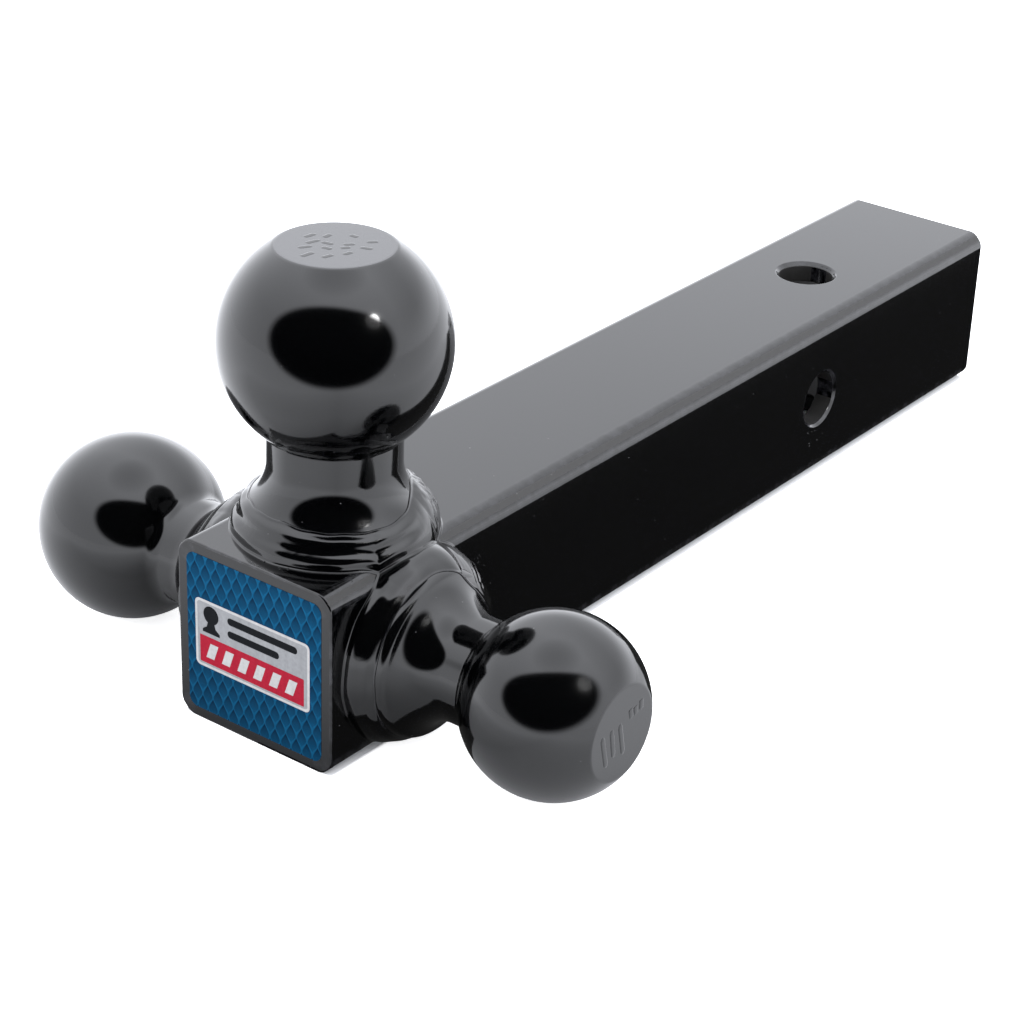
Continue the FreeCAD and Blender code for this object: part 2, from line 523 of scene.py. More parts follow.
@dataclass(frozen=True)
class PrintedInk:
    """A plain printed colour on film.

    Attributes:
        name: Name of the material.
        colour: Colour of the ink.
        roughness: Roughness of the print.
        metallic: How metallic the ink looks.
        brushed: Height of the fine brushing.
        contrast: Strength of the colour's own variation.
    """

    name: str
    colour: Colour
    roughness: float = 0.28
    metallic: float = 0.0
    brushed: float = 0.0
    contrast: float = 0.12

    def build(self, effects: Effects) -> bpy.types.Material:
        """The finished material.

        Args:
            effects: The shared effects.

        Returns:
            The material.
        """
        material, graph = new_material(self.name)
        place = graph.place()
        scales = {"Scales": (900.0, 900.0, 60.0)}
        lines = graph.add("ShaderNodeGroup", scales, node_tree=effects.lines).outputs["Height"]
        noise = graph.noise(place, 1300.0, 3.0)
        both = graph.math("MULTIPLY", graph.math("ADD", noise, lines), 0.5)
        shade = graph.ramp(both, 0.3, 0.7, 1.0 - self.contrast, 1.0 + self.contrast)
        tint = graph.scaled(self.colour, shade)
        dust = graph.add("ShaderNodeGroup", {}, node_tree=effects.dust).outputs["Mask"]
        rough = graph.math("MULTIPLY_ADD", dust, DUST_ROUGHNESS, self.roughness)
        normal = graph.bump(lines, max(self.brushed, 0.0005 * MM))
        shader = finish_material(graph, {"Base Color": tint, "Roughness": rough, "Normal": normal})
        shader.inputs["Metallic"].default_value = self.metallic
        shader.inputs["IOR"].default_value = FILM_IOR
        shader.inputs["Specular IOR Level"].default_value = FILM_GLOSS
        return material


# ---------------------------------------------------------------------------------------------
# Mesh helpers
# ---------------------------------------------------------------------------------------------


def mesh_from(
    name: str, points: Points, faces: Sequence[Sequence[int]], attributes: dict[str, Points] | None = None
) -> bpy.types.Object:
    """A mesh object in the scene.

    Args:
        name: Name of the object and its mesh.
        points: The corners, one row each.
        faces: The corner numbers of each face.
        attributes: Values to store on the corners, by name.

    Returns:
        The object.
    """
    mesh = bpy.data.meshes.new(name)
    mesh.from_pydata([tuple(p) for p in np.asarray(points, float)], [], [tuple(f) for f in faces])
    for key, values in (attributes or {}).items():
        mesh.attributes.new(key, "FLOAT", "POINT").data.foreach_set("value", np.asarray(values, np.float32))
    mesh.update()
    made = bpy.data.objects.new(name, mesh)
    bpy.context.scene.collection.objects.link(made)
    return made


def loft(rings: Sequence[Points], closed: bool) -> tuple[Points, list[tuple[int, int, int, int]]]:
    """Corners and faces of a surface through closed rings of equally many points.

    Args:
        rings: The rings, in order.
        closed: Whether the last ring joins the first.

    Returns:
        The corners and the four-sided faces.
    """
    count = len(rings[0])
    points = np.concatenate([np.asarray(r, float) for r in rings])
    faces = []
    for i in range(len(rings) if closed else len(rings) - 1):
        here, there = i * count, ((i + 1) % len(rings)) * count
        for j in range(count):
            k = (j + 1) % count
            faces.append((here + j, here + k, there + k, there + j))
    return points, faces


def turned(outline: Sequence[tuple[float, float]], steps: int) -> tuple[Points, list[tuple[int, ...]]]:
    """Corners and faces of an outline turned round the Z axis.

    Args:
        outline: Radius and height of each point, starting and ending on the axis.
        steps: Number of steps round.

    Returns:
        The corners and the faces.
    """
    angles = np.arange(steps) * 2 * math.pi / steps
    inner = outline[1:-1]
    rings = [np.stack([r * np.cos(angles), r * np.sin(angles), np.full(steps, z)], 1) for r, z in inner]
    points, faces = loft(rings, closed=False)
    first, last = len(points), len(points) + 1
    points = np.vstack([points, [(0, 0, outline[0][1]), (0, 0, outline[-1][1])]])
    base = (len(inner) - 1) * steps
    caps = [(first, (j + 1) % steps, j) for j in range(steps)]
    caps += [(last, base + j, base + (j + 1) % steps) for j in range(steps)]
    return points, list(faces) + caps


def arc(
    centre: tuple[float, float], radius: float, start: float, end: float, steps: int
) -> list[tuple[float, float]]:
    """Points on an arc, angles in degrees, both ends included."""
    angles = np.radians(np.linspace(start, end, steps + 1))
    return [(centre[0] + radius * math.cos(a), centre[1] + radius * math.sin(a)) for a in angles]


def angle_to(centre: tuple[float, float], target: tuple[float, float]) -> float:
    """Direction from centre to target, in degrees."""
    return math.degrees(math.atan2(target[1] - centre[1], target[0] - centre[0]))


def outward(made: bpy.types.Object) -> None:
    """Turn a closed mesh's faces to look outward.

    Args:
        made: The object.
    """
    work = bmesh.new()
    work.from_mesh(made.data)
    bmesh.ops.recalc_face_normals(work, faces=work.faces)
    work.to_mesh(made.data)
    work.free()


def bake(made: bpy.types.Object) -> None:
    """Replace an object's mesh by what its modifiers make of it, and take the modifiers off.

    Args:
        made: The object.
    """
    evaluated = made.evaluated_get(bpy.context.evaluated_depsgraph_get())
    mesh = bpy.data.meshes.new_from_object(evaluated)
    made.modifiers.clear()
    old, made.data = made.data, mesh
    bpy.data.meshes.remove(old)
    mesh.name = made.name


def run_tree(made: bpy.types.Object, tree: bpy.types.NodeTree, inputs: dict[str, object]) -> None:
    """Run a geometry tree on an object, keep what it makes, and shade that smooth.

    Args:
        made: The object.
        tree: The tree.
        inputs: The tree's inputs, by name.
    """
    modifier = made.modifiers.new(tree.name, "NODES")
    modifier.node_group = tree
    for name, value in inputs.items():
        modifier[input_identifier(tree, name)] = value
    bake(made)
    made.data.shade_smooth()


def smooth(made: bpy.types.Object, angle: float = 32.0, weighted: bool = True) -> None:
    """Shade a mesh smooth but for its sharp edges.

    Args:
        made: The object.
        angle: Edges sharper than this, in degrees, stay sharp.
        weighted: Whether large flat faces keep their own normals.
    """
    made.data.shade_smooth()
    made.data.set_sharp_from_angle(angle=math.radians(angle))
    if weighted:
        made.modifiers.new("weighted", "WEIGHTED_NORMAL").keep_sharp = True
        bake(made)


def mark_edges(made: bpy.types.Object, largest_radius: float = 1.3 * MM) -> None:
    """Store how sharply convex each narrow face is in the attribute "edge", from 0 to 1.

    Args:
        made: The object.
        largest_radius: Curves wider than this, and faces wider than this, count as no edge.
    """
    work = bmesh.new()
    work.from_mesh(made.data)
    work.faces.ensure_lookup_table()
    values = np.zeros(len(work.faces), np.float32)
    widths = [face.calc_area() / max(max(e.calc_length() for e in face.edges), 1e-7) for face in work.faces]
    for edge in work.edges:
        if len(edge.link_faces) != 2:
            continue
        turn = edge.calc_face_angle_signed(0.0)
        if turn <= 0.02:
            continue
        across = [face.calc_area() / max(edge.calc_length(), 1e-7) for face in edge.link_faces]
        value = min(1.0, turn / max(min(across), 1e-6) * largest_radius / 2.0)
        for face in edge.link_faces:
            if value > 0.5 and widths[face.index] < largest_radius:
                values[face.index] = max(values[face.index], value)
    work.free()
    layer = made.data.attributes.get("edge") or made.data.attributes.new("edge", "FLOAT", "FACE")
    layer.data.foreach_set("value", values)


def mark_faces(made: bpy.types.Object, name: str, chosen: Callable[[Vector, Vector], bool]) -> None:
    """Store 1 on some faces and 0 on the rest.

    Args:
        made: The object.
        name: Name of the attribute.
        chosen: Says whether a face is one of them, from its middle and its normal.
    """
    values = [float(chosen(face.center, face.normal)) for face in made.data.polygons]
    made.data.attributes.new(name, "FLOAT", "FACE").data.foreach_set("value", values)


def wear_material(made: bpy.types.Object, material: bpy.types.Material) -> None:
    """Give an object one material."""
    made.data.materials.clear()
    made.data.materials.append(material)


def put_on(made: bpy.types.Object, material: bpy.types.Material, slot: str, *nodes: str) -> None:
    """Make a finished piece part of the object.

    Args:
        made: The piece.
        material: Its finish.
        slot: Name of a slot for that finish; not used.
        *nodes: The CAD nodes that it stands for.
    """
    wear_material(made, material)
    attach(made, "root")
    if nodes:
        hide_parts(*nodes)
    log.info("%s: %d faces", made.name, len(made.data.polygons))


# ---------------------------------------------------------------------------------------------
# Sub-assemblies
# ---------------------------------------------------------------------------------------------


class Side(Enum):
    """The face of the tube that a ball stands on."""

    TOP = "top"
    LEFT = "left"
    RIGHT = "right"

    def place(self, points: Points) -> Points:
        """Points of a ball's own frame (foot at Z = 0, axis +Z), in the part's frame.

        Args:
            points: The points, one row each.

        Returns:
            The same points in the part's frame.
        """
        x, y, z = np.asarray(points, float).T
        y = y + BALL_Y
        z = z + HALF_WIDTH
        if self is Side.TOP:
            return np.stack([x, y, z], 1)
        if self is Side.LEFT:
            return np.stack([-z, y, x], 1)
        return np.stack([z, y, -x], 1)


@dataclass
class Shank:
    """The square tube with its pin bores.

    Attributes:
        finish: Paint of the tube.
        wall: Thickness of the tube's wall.
        corner: Cut and radius of its long edges outside.
        inner_corner: Cut and radius of its long edges inside.
        edge: Radius of its broken end edges.
        bore: Radius of the pin bores.
        mouths: Chamfer of the upright and of the cross bore's mouths.
        mouth_edge: Radius of the mouths' edges.
        upright_y: Station of the top-to-bottom bore.
        pilot_hole: Radius of the holes for the balls' pilots.
        corner_steps: Steps round each half corner.
    """

    finish: bpy.types.Material
    wall: float = 6.35 * MM
    corner: tuple[float, float] = (CORNER_CUT, CORNER_ROUND)
    inner_corner: tuple[float, float] = (1.2 * MM, 2.0 * MM)
    edge: float = 0.55 * MM
    bore: float = 8.35 * MM
    mouths: tuple[float, float] = (1.15 * MM, 0.75 * MM)
    mouth_edge: float = 0.4 * MM
    upright_y: float = 28.6 * MM
    pilot_hole: float = 10.1 * MM
    corner_steps: int = 8

    def ring(self, half: float, cut: float, radius: float, y: float) -> Points:
        """One square ring with cut, rounded corners.

        Args:
            half: Half width of the square.
            cut: How far along each side a corner is cut off.
            radius: Radius either side of the cut.
            y: Station of the ring.

        Returns:
            The ring's points.
        """
        near, far = half - radius, half - cut - radius * math.tan(math.radians(22.5))
        points = []
        for quarter in range(4):
            turn = math.radians(90 * quarter)
            c, s = round(math.cos(turn)), round(math.sin(turn))
            side = arc((near, far), radius, 0, 45, self.corner_steps)
            side += arc((far, near), radius, 45, 90, self.corner_steps)
            for x, z in side:
                points.append((c * x - s * z, y, s * x + c * z))
        return np.array(points)

    def end_rings(
        self, half: float, corner: tuple[float, float], y: float, inward: int, outside: int
    ) -> list[Points]:
        """The rings of one broken edge, from the long face to the end face.

        Args:
            half: Half width of the long face.
            corner: Cut and radius of the long face's corners.
            y: Station of the end.
            inward: +1 if the tube lies towards +Y of this end, else -1.
            outside: +1 for the tube's outside, -1 for its bore.

        Returns:
            The rings.
        """
        rings = []
        for step in range(5):
            turn = math.radians(90 * step / 4)
            inset = self.edge * (1 - math.cos(turn)) * outside
            depth = self.edge * (1 - math.sin(turn)) * inward
            cut = corner[0] - inset * (2 - math.sqrt(2))
            rings.append(self.ring(half - inset, cut, corner[1] - inset, y + depth))
        return rings

    def cutter(self, name: str, axis: Side, y: float, mouth: float) -> bpy.types.Object:
        """The tool that cuts one pin bore with its two rounded, chamfered mouths.

        Args:
            name: Name of the tool.
            axis: TOP for a bore along Z, RIGHT for one along X.
            y: Station of the bore.
            mouth: Chamfer of its mouths.

        Returns:
            The tool.
        """
        tip = HALF_WIDTH - mouth
        e = self.mouth_edge
        lip = e * math.tan(math.radians(22.5))
        wide = self.bore + mouth
        reach, above = wide + lip + e, HALF_WIDTH + 2 * MM
        upper = [(0.0, above), (reach, above), (reach, HALF_WIDTH + 0.02 * MM)]
        upper += arc((wide + lip, HALF_WIDTH - e), e, 86, 135, 5)
        upper += arc((self.bore + e, tip - lip), e, 135, 180, 5)
        inner = HALF_WIDTH - self.wall
        upper += [(self.bore, inner + 0.45 * MM), (self.bore + 0.12 * MM, inner + 0.12 * MM)]
        upper += [(self.bore + 0.4 * MM, inner - 0.05 * MM), (self.bore + 0.4 * MM, 0.0)]
        lower = [(r, -z) for r, z in reversed(upper[:-1])]
        points, faces = turned(upper + lower, 112)
        if axis is Side.RIGHT:
            points = np.stack([points[:, 2], points[:, 0], points[:, 1]], 1)
        points = points + np.array([0, y, 0])
        made = mesh_from(name, points, faces)
        outward(made)
        return made

    def is_inside(self, middle: Vector, normal: Vector) -> bool:
        """Whether a face lies in the tube's or a bore's inside, from its middle and normal."""
        deep = max(abs(middle.x), abs(middle.z)) < HALF_WIDTH - max(self.mouths) + 0.2 * MM
        return deep and abs(normal.y) < 0.95 and FRONT_Y + MM < middle.y < REAR_Y - 0.3 * MM

    def build(self) -> bpy.types.Object:
        """The finished tube.

        Returns:
            The tube.
        """
        bore_half = HALF_WIDTH - self.wall
        rings = self.end_rings(HALF_WIDTH, self.corner, FRONT_Y, 1, 1)[::-1]
        rings += self.end_rings(HALF_WIDTH, self.corner, REAR_Y, -1, 1)
        rings += self.end_rings(bore_half, self.inner_corner, REAR_Y, -1, -1)[::-1]
        rings += self.end_rings(bore_half, self.inner_corner, FRONT_Y, 1, -1)
        points, faces = loft(rings, closed=True)
        tube = mesh_from("shank_body", points, faces)
        outward(tube)
        cutters = [
            self.cutter("cut_upright", Side.TOP, self.upright_y, self.mouths[0]),
            self.cutter("cut_cross", Side.RIGHT, 0.0, self.mouths[1]),
        ]
        for side in Side:
            top, low = 1 * MM, -self.wall - 1 * MM
            outline = [(0, top), (self.pilot_hole, top), (self.pilot_hole, low), (0, low)]
            corners, sides = turned(outline, 64)
            cutter = mesh_from("cut_pilot_" + side.value, side.place(corners), sides)
            outward(cutter)
            cutters.append(cutter)
        for cutter in cutters:
            modifier = tube.modifiers.new(cutter.name, "BOOLEAN")
            modifier.operation = "DIFFERENCE"
            modifier.solver = "EXACT"
            modifier.object = cutter
        bake(tube)
        for cutter in cutters:
            bpy.data.objects.remove(cutter)
        smooth(tube, 35.0)
        mark_edges(tube)
        mark_faces(tube, "sheltered", self.is_inside)
        put_on(tube, self.finish, "shank_paint", "shank_tube")
        return tube


@dataclass
class BallForging:
    """One ball with its neck and foot.

    Attributes:
        side: The tube face that it stands on.
        radius: Radius of the ball.
        crown_cut: Height taken off the crown.
        throat: Radius of the throat.
        throat_length: Length of the throat.
        flare_height: Height of the hollow flare.
        foot: Radius of the foot.
        foot_height: Height of the foot.
        foot_edge: Radius of the foot's edge.
        junction: Radius of the fillet under the ball.
        crown_edge: Radius of the crown's edge.
        pilot: Radius of the pilot.
        pilot_depth: Depth of the pilot.
        steps: Steps round the ball.
    """

    side: Side
    radius: float
    crown_cut: float
    throat: float
    throat_length: float
    flare_height: float
    foot: float
    foot_height: float
    foot_edge: float
    junction: float = 1.2 * MM
    crown_edge: float = 1.5 * MM
    pilot: float = 10.0 * MM
    pilot_depth: float = 6.35 * MM
    steps: int = 176

    @property
    def throat_start(self) -> float:
        """Height where the flare meets the throat."""
        return self.foot_height + self.flare_height

    @property
    def centre(self) -> float:
        """Height of the ball's centre above the tube's face.

        Returns:
            The height.
        """
        reach = self.radius + self.junction
        return self.throat_start + self.throat_length + math.sqrt(
            reach**2 - (self.throat + self.junction) ** 2
        )

    @property
    def crown(self) -> float:
        """Height of the flat on the crown."""
        return self.centre + self.radius - self.crown_cut

    def flare(self) -> tuple[tuple[float, float], float]:
        """Centre and radius of the flare's arc.

        Returns:
            The centre (radius and height) and the radius.
        """
        inset = self.foot - self.foot_edge - self.throat
        radius = (inset**2 + self.flare_height**2 - self.foot_edge**2) / (2 * (self.foot_edge + inset))
        return (self.throat + radius, self.throat_start), radius

    def radius_at(self, height: float) -> float:
        """Radius of the foot or flare at a height above the tube's face.

        Args:
            height: Height above the tube's face.

        Returns:
            The radius there.
        """
        edge_centre = (self.foot - self.foot_edge, self.foot_height)
        centre, radius = self.flare()
        towards = math.hypot(centre[0] - edge_centre[0], centre[1] - edge_centre[1])
        tangent = edge_centre[1] + (centre[1] - edge_centre[1]) * self.foot_edge / towards
        if height <= self.foot_height:
            return self.foot
        if height <= tangent:
            return edge_centre[0] + math.sqrt(max(self.foot_edge**2 - (height - edge_centre[1]) ** 2, 0.0))
        if height <= self.throat_start:
            return centre[0] - math.sqrt(radius**2 - (height - centre[1]) ** 2)
        return self.throat

    def outline(self) -> list[tuple[float, float]]:
        """The forging's half section, from the crown down to the pilot's bottom.

        Returns:
            Radius and height of each point.
        """
        edge_reach = self.radius - self.crown_edge
        edge_rise = self.crown - self.crown_edge - self.centre
        flat = math.sqrt(edge_reach**2 - edge_rise**2)
        ball_centre = (0.0, self.centre)
        lip_centre = (flat, self.crown - self.crown_edge)
        lip_angle = angle_to(ball_centre, lip_centre)
        fillet_centre = (self.throat + self.junction, self.throat_start + self.throat_length)
        fillet_angle = angle_to(ball_centre, fillet_centre)
        edge_centre = (self.foot - self.foot_edge, self.foot_height)
        flare_centre, flare_radius = self.flare()
        join = angle_to(edge_centre, flare_centre)

        points = [(0.0, self.crown)]
        points += [(flat * share, self.crown) for share in (0.3, 0.6, 0.85, 0.97)]
        points += arc(lip_centre, self.crown_edge, 90, lip_angle, 8)
        points += arc(ball_centre, self.radius, lip_angle, fillet_angle, 88)[1:]
        points += arc(fillet_centre, self.junction, 180 + fillet_angle, 180, 8)[1:]
        points += [(self.throat, self.throat_start + self.throat_length * 0.5)]
        points += arc(flare_centre, flare_radius, 180, 180 + join, 24)
        points += arc(edge_centre, self.foot_edge, join, 0, 8)[1:]
        points += [(self.foot, 0.3 * self.foot_height), (self.foot, 0.0), (self.pilot, 0.0)]
        points += [(self.pilot, -self.pilot_depth), (0.0, -self.pilot_depth)]
        return points

    def build(self, finish: bpy.types.Material) -> bpy.types.Object:
        """The finished forging.

        Args:
            finish: Its paint.

        Returns:
            The forging.
        """
        points, faces = turned(self.outline(), self.steps)
        made = mesh_from(f"{self.side.value}_ball_forging", self.side.place(points), faces)
        outward(made)
        smooth(made, 40.0)
        mark_edges(made)
        if self.side is Side.TOP:
            mark_faces(made, "haze", lambda middle, normal: middle.z > HALF_WIDTH + self.crown - 0.05 * MM)
        put_on(made, finish, "ball_paint", f"{self.side.value}_ball")
        return made


@dataclass
class StampedMarks:
    """Plain raised tally bars on a ball's crown, in two uneven rows.

    Attributes:
        ball: The forging that carries them.
        rows: For each row, its place across, the first bar's place along, the number of bars, their pitch
            and their length as a share of the bar's own.
        bar: Length, width and height of a full bar.
        turn: How far the rows are turned on the flat, in degrees.
        sunk: How far the bars are set into the flat.
        uneven: Largest turn of a bar out of its row, in radians.
        scatter: Largest shift of a bar out of its row.
    """

    ball: BallForging
    rows: Sequence[tuple[float, float, int, float, float]] = (
        (-3.6 * MM, -5.2 * MM, 5, 2.5 * MM, 1.0),
        (4.2 * MM, -3.9 * MM, 4, 2.3 * MM, 0.5),
    )
    bar: tuple[float, float, float] = (6.5 * MM, 1.5 * MM, 0.34 * MM)
    turn: float = 0.0
    sunk: float = 0.12 * MM
    uneven: float = 0.12
    scatter: float = 0.3 * MM

    def bar_mesh(self) -> bpy.types.Object:
        """One soft-edged bar, lying along X, its underside flat.

        Returns:
            The bar.
        """
        length, width, height = self.bar
        rings = []
        for share, level in (
            (1.0, -1.0), (1.0, 0.0), (0.97, 0.35), (0.86, 0.75), (0.62, 0.96), (0.25, 1.0)
        ):
            angles = np.arange(28) * 2 * math.pi / 28
            reach = width / 2 * share
            across = np.sign(np.cos(angles)) * (length - width) / 2
            x = across * (0.85 + 0.15 * share) + reach * np.cos(angles)
            rings.append(np.stack([x, reach * np.sin(angles), np.full(28, height * level)], 1))
        points, faces = loft(rings, closed=False)
        faces = list(faces) + [tuple(range(27, -1, -1)), tuple(range(len(points) - 28, len(points)))]
        made = mesh_from("stamp_bar", points, faces)
        outward(made)
        made.data.shade_smooth()
        return made

    def tree(self) -> bpy.types.NodeTree:
        """Geometry nodes: the bar, once on each given point, turned by the stored angle.

        Returns:
            The tree.
        """
        inputs = [
            ("Geometry", "NodeSocketGeometry", None),
            ("Bar", "NodeSocketObject", None),
            ("Material", "NodeSocketMaterial", None),
            ("Seed", "NodeSocketInt", 3),
            ("Uneven", "NodeSocketFloat", 0.12),
            ("Scatter", "NodeSocketFloat", 0.0),
        ]
        graph, given, result = new_group(
            "stamped_marks", "GeometryNodeTree", inputs, [("Geometry", "NodeSocketGeometry")]
        )
        bar = graph.add("GeometryNodeObjectInfo", {"Object": given.outputs["Bar"]}).outputs["Geometry"]
        angle = graph.add(
            "GeometryNodeInputNamedAttribute", {"Name": "angle"}, data_type="FLOAT"
        ).outputs[0]
        length = graph.add(
            "GeometryNodeInputNamedAttribute", {"Name": "length"}, data_type="FLOAT"
        ).outputs[0]
        size = graph.add("ShaderNodeCombineXYZ", {0: length, 1: 1.0, 2: 1.0}).outputs[0]
        lower = graph.math("MULTIPLY", given.outputs["Uneven"], -1.0)
        jitter = graph.add(
            "FunctionNodeRandomValue",
            {2: lower, 3: given.outputs["Uneven"], "Seed": given.outputs["Seed"]},
            data_type="FLOAT",
        ).outputs[1]
        turn = graph.add("ShaderNodeCombineXYZ", {2: graph.math("ADD", angle, jitter)}).outputs[0]
        anywhere = graph.add(
            "FunctionNodeRandomValue",
            {0: (-1.0, -1.0, 0.0), 1: (1.0, 1.0, 0.0), "Seed": given.outputs["Seed"]},
            data_type="FLOAT_VECTOR",
        ).outputs[0]
        shift = graph.scaled(anywhere, given.outputs["Scatter"])
        spread = graph.add(
            "GeometryNodeSetPosition", {"Geometry": given.outputs["Geometry"], "Offset": shift}
        ).outputs[0]
        placed = graph.add(
            "GeometryNodeInstanceOnPoints", {
                "Points": spread, "Instance": bar, "Rotation": turn, "Scale": size
            }
        )
        return close_tree(graph, given, result, placed.outputs[0])

    def build(self, finish: bpy.types.Material) -> bpy.types.Object:
        """The finished marks.

        Args:
            finish: Their paint.

        Returns:
            The marks, as one piece.
        """
        turn = math.radians(self.turn)
        spots, turns, lengths = [], [], []
        for across, first, count, pitch, share in self.rows:
            for i in range(count):
                x, y = across, first + i * pitch
                spots.append(
                    (x * math.cos(turn) - y * math.sin(turn), x * math.sin(turn) + y * math.cos(turn), 0.0)
                )
                turns.append(turn)
                lengths.append(share * (1.0 - 0.12 * (i % 2)))
        stored = {"angle": np.array(turns), "length": np.array(lengths)}
        made = mesh_from(f"{self.ball.side.value}_crown_marks", np.array(spots), [], stored)
        bar = self.bar_mesh()
        inputs = {"Bar": bar, "Uneven": self.uneven, "Scatter": self.scatter, "Material": finish}
        run_tree(made, self.tree(), inputs)
        bpy.data.objects.remove(bar)
        corners = np.array([v.co for v in made.data.vertices])
        corners[:, 2] += self.ball.crown - self.sunk
        for vertex, place in zip(made.data.vertices, self.ball.side.place(corners)):
            vertex.co = place
        outward(made)
        made.data.shade_smooth()
        put_on(made, finish, "ball_paint")
        return made


def bumps(angle: float, places: Sequence[tuple[float, float, float]]) -> float:
    """The sum of several smooth bumps along a circle.

    Args:
        angle: Where it is wanted, in degrees.
        places: Angle, half width in degrees and height of each bump.

    Returns:
        The sum of the heights.
    """
    total = 0.0
    for centre, width, height in places:
        away = abs((angle - centre + 180.0) % 360.0 - 180.0) / width
        total += height * (0.5 + 0.5 * math.cos(math.pi * away)) if away < 1 else 0.0
    return total


@dataclass
class WeldBead:
    """The fillet weld round a ball's foot, with its rim, ripples and rougher stretches.

    Angles run round the ball's axis, 0 at the front (-Y) and 90 at the side's own +X.

    Attributes:
        ball: The forging that it holds.
        leg: Radius of the toe.
        rim: Height of the upper edge.
        swell: How far the bead stands proud of a straight fillet.
        rises: Angle, width and extra height of each place where the bead climbs.
        bulges: Angle, width and extra thickness of each place where the bead is thicker.
        roughs: Angle, width and ripple height of each rough stretch.
        lobes: How far the two passes of the smooth stretch stand out either side of the line between.
        lip: Radius of the rolled upper edge.
        pitch: Distance between ripples.
        floor_side: Sign of local X that faces the ground, or 0.
        steps: Steps round the bead.
        seed: Seed of the ripples' noise.
    """

    ball: BallForging
    leg: float
    rim: float
    swell: float
    rises: Sequence[tuple[float, float, float]]
    bulges: Sequence[tuple[float, float, float]]
    roughs: Sequence[tuple[float, float, float]]
    lobes: float = 0.0
    lip: float = 0.35 * MM
    pitch: float = 3.3 * MM
    floor_side: int = 0
    steps: int = 440
    seed: float = 1.0

    def base_height(self, x: float) -> float:
        """Height of the surface that the toe rests on, at a distance across the tube.

        Args:
            x: Distance across the tube from its middle.

        Returns:
            The height above the tube's face, 0 or less.
        """
        away = abs(x)
        start = HALF_WIDTH - CORNER_CUT - CORNER_ROUND * math.tan(math.radians(22.5))
        over = away - start
        if over <= 0:
            return 0.0
        if over <= CORNER_ROUND * math.sqrt(0.5):
            return math.sqrt(CORNER_ROUND**2 - over**2) - CORNER_ROUND
        on_cut = HALF_WIDTH - CORNER_CUT - away
        if self.floor_side and x * self.floor_side > 0:
            return max(on_cut, -HALF_WIDTH + start)
        return on_cut if away <= HALF_WIDTH - CORNER_CUT / 2 else away - HALF_WIDTH

    @staticmethod
    def lobe(share: float) -> float:
        """How far the two passes stand out, 0 to 1, at a share of the way up the section.

        Args:
            share: Share of the way up, 0 at the toe.

        Returns:
            The share of the full height.
        """
        if share < 0.25:
            return 0.5 - 0.5 * math.cos(math.pi * share / 0.25)
        if share > 0.76:
            return 0.5 + 0.5 * math.cos(math.pi * (share - 0.76) / 0.24)
        return 0.5 - 0.5 * math.cos(2 * math.pi * (share - 0.25) / 0.51 + math.pi)

    def section(self, angle: float) -> tuple[list[tuple[float, float]], list[float], list[float]]:
        """The bead's closed section at one angle.

        Args:
            angle: Angle round the ball, in degrees.

        Returns:
            Radius and height of each point, how much each may be displaced, and its share of the way up.
        """
        rise, bulge = bumps(angle, self.rises), bumps(angle, self.bulges)
        wave = 0.1 * MM * math.sin(
            math.radians(angle) * 9 + self.seed
        ) + 0.07 * MM * math.sin(math.radians(angle) * 17)
        top = self.rim + rise + wave
        toe = self.leg + 0.35 * bulge + 0.8 * wave
        across = toe * math.sin(math.radians(angle))
        base = self.base_height(across)
        face = self.ball.radius_at(top)
        start, end = (toe, base + 0.22 * MM), (face + self.lip, top - 0.4 * self.lip)
        run = math.hypot(end[0] - start[0], end[1] - start[1])
        normal = ((end[1] - start[1]) / run, (start[0] - end[0]) / run)
        points = [(toe + 0.5 * MM, base - 0.7 * MM), (toe + 0.5 * MM, base - 0.02 * MM)]
        points.append((toe + 0.2 * MM, base + 0.07 * MM))
        weights = [0.0] * 3
        shares = [0.0] * 3
        count = 20
        for i in range(count + 1):
            t = i / count
            out = (self.swell + bulge) * math.sin(math.pi * t) ** 0.8
            out += self.lobes * (1 - min(1.0, rise / (2 * MM))) * self.lobe(t)
            across, up = (a + (b - a) * t + n * out for a, b, n in zip(start, end, normal))
            points.append((across, up))
            weights.append(min(1.0, 4.0 * t, 4.0 * (1 - t)))
            shares.append(t)
        for r, z in arc((face, end[1]), self.lip, 30, 100, 4):
            points.append((r, z))
            weights.append(0.0)
            shares.append(1.0)
        inner = self.ball.throat - 1.0 * MM
        points += [(face - 1.2 * MM, top - 0.9 * MM), (inner, top - 2 * MM), (inner, base - 0.7 * MM)]
        weights += [0.0] * 3
        shares += [1.0] * 3
        return points, weights, shares

    def tree(self) -> bpy.types.NodeTree:
        """Geometry nodes: crescent ripples and noise, along the surface's own normals.

        Returns:
            The tree.
        """
        inputs = [
            ("Geometry", "NodeSocketGeometry", None),
            ("Ripple pitch", "NodeSocketFloat", 2.6 * MM),
            ("Crescent", "NodeSocketFloat", 1.1),
            ("Smooth share", "NodeSocketFloat", 0.004 * MM),
            ("Seed", "NodeSocketFloat", 1.0),
            ("Material", "NodeSocketMaterial", None),
        ]
        graph, given, result = new_group(
            "bead_ripples", "GeometryNodeTree", inputs, [("Geometry", "NodeSocketGeometry")]
        )

        def stored(name: str) -> Socket:
            """A value stored on the bead's corners.

            Args:
                name: The attribute's name.

            Returns:
                Its value.
            """
            return graph.add(
                "GeometryNodeInputNamedAttribute", {"Name": name}, data_type="FLOAT"
            ).outputs[0]

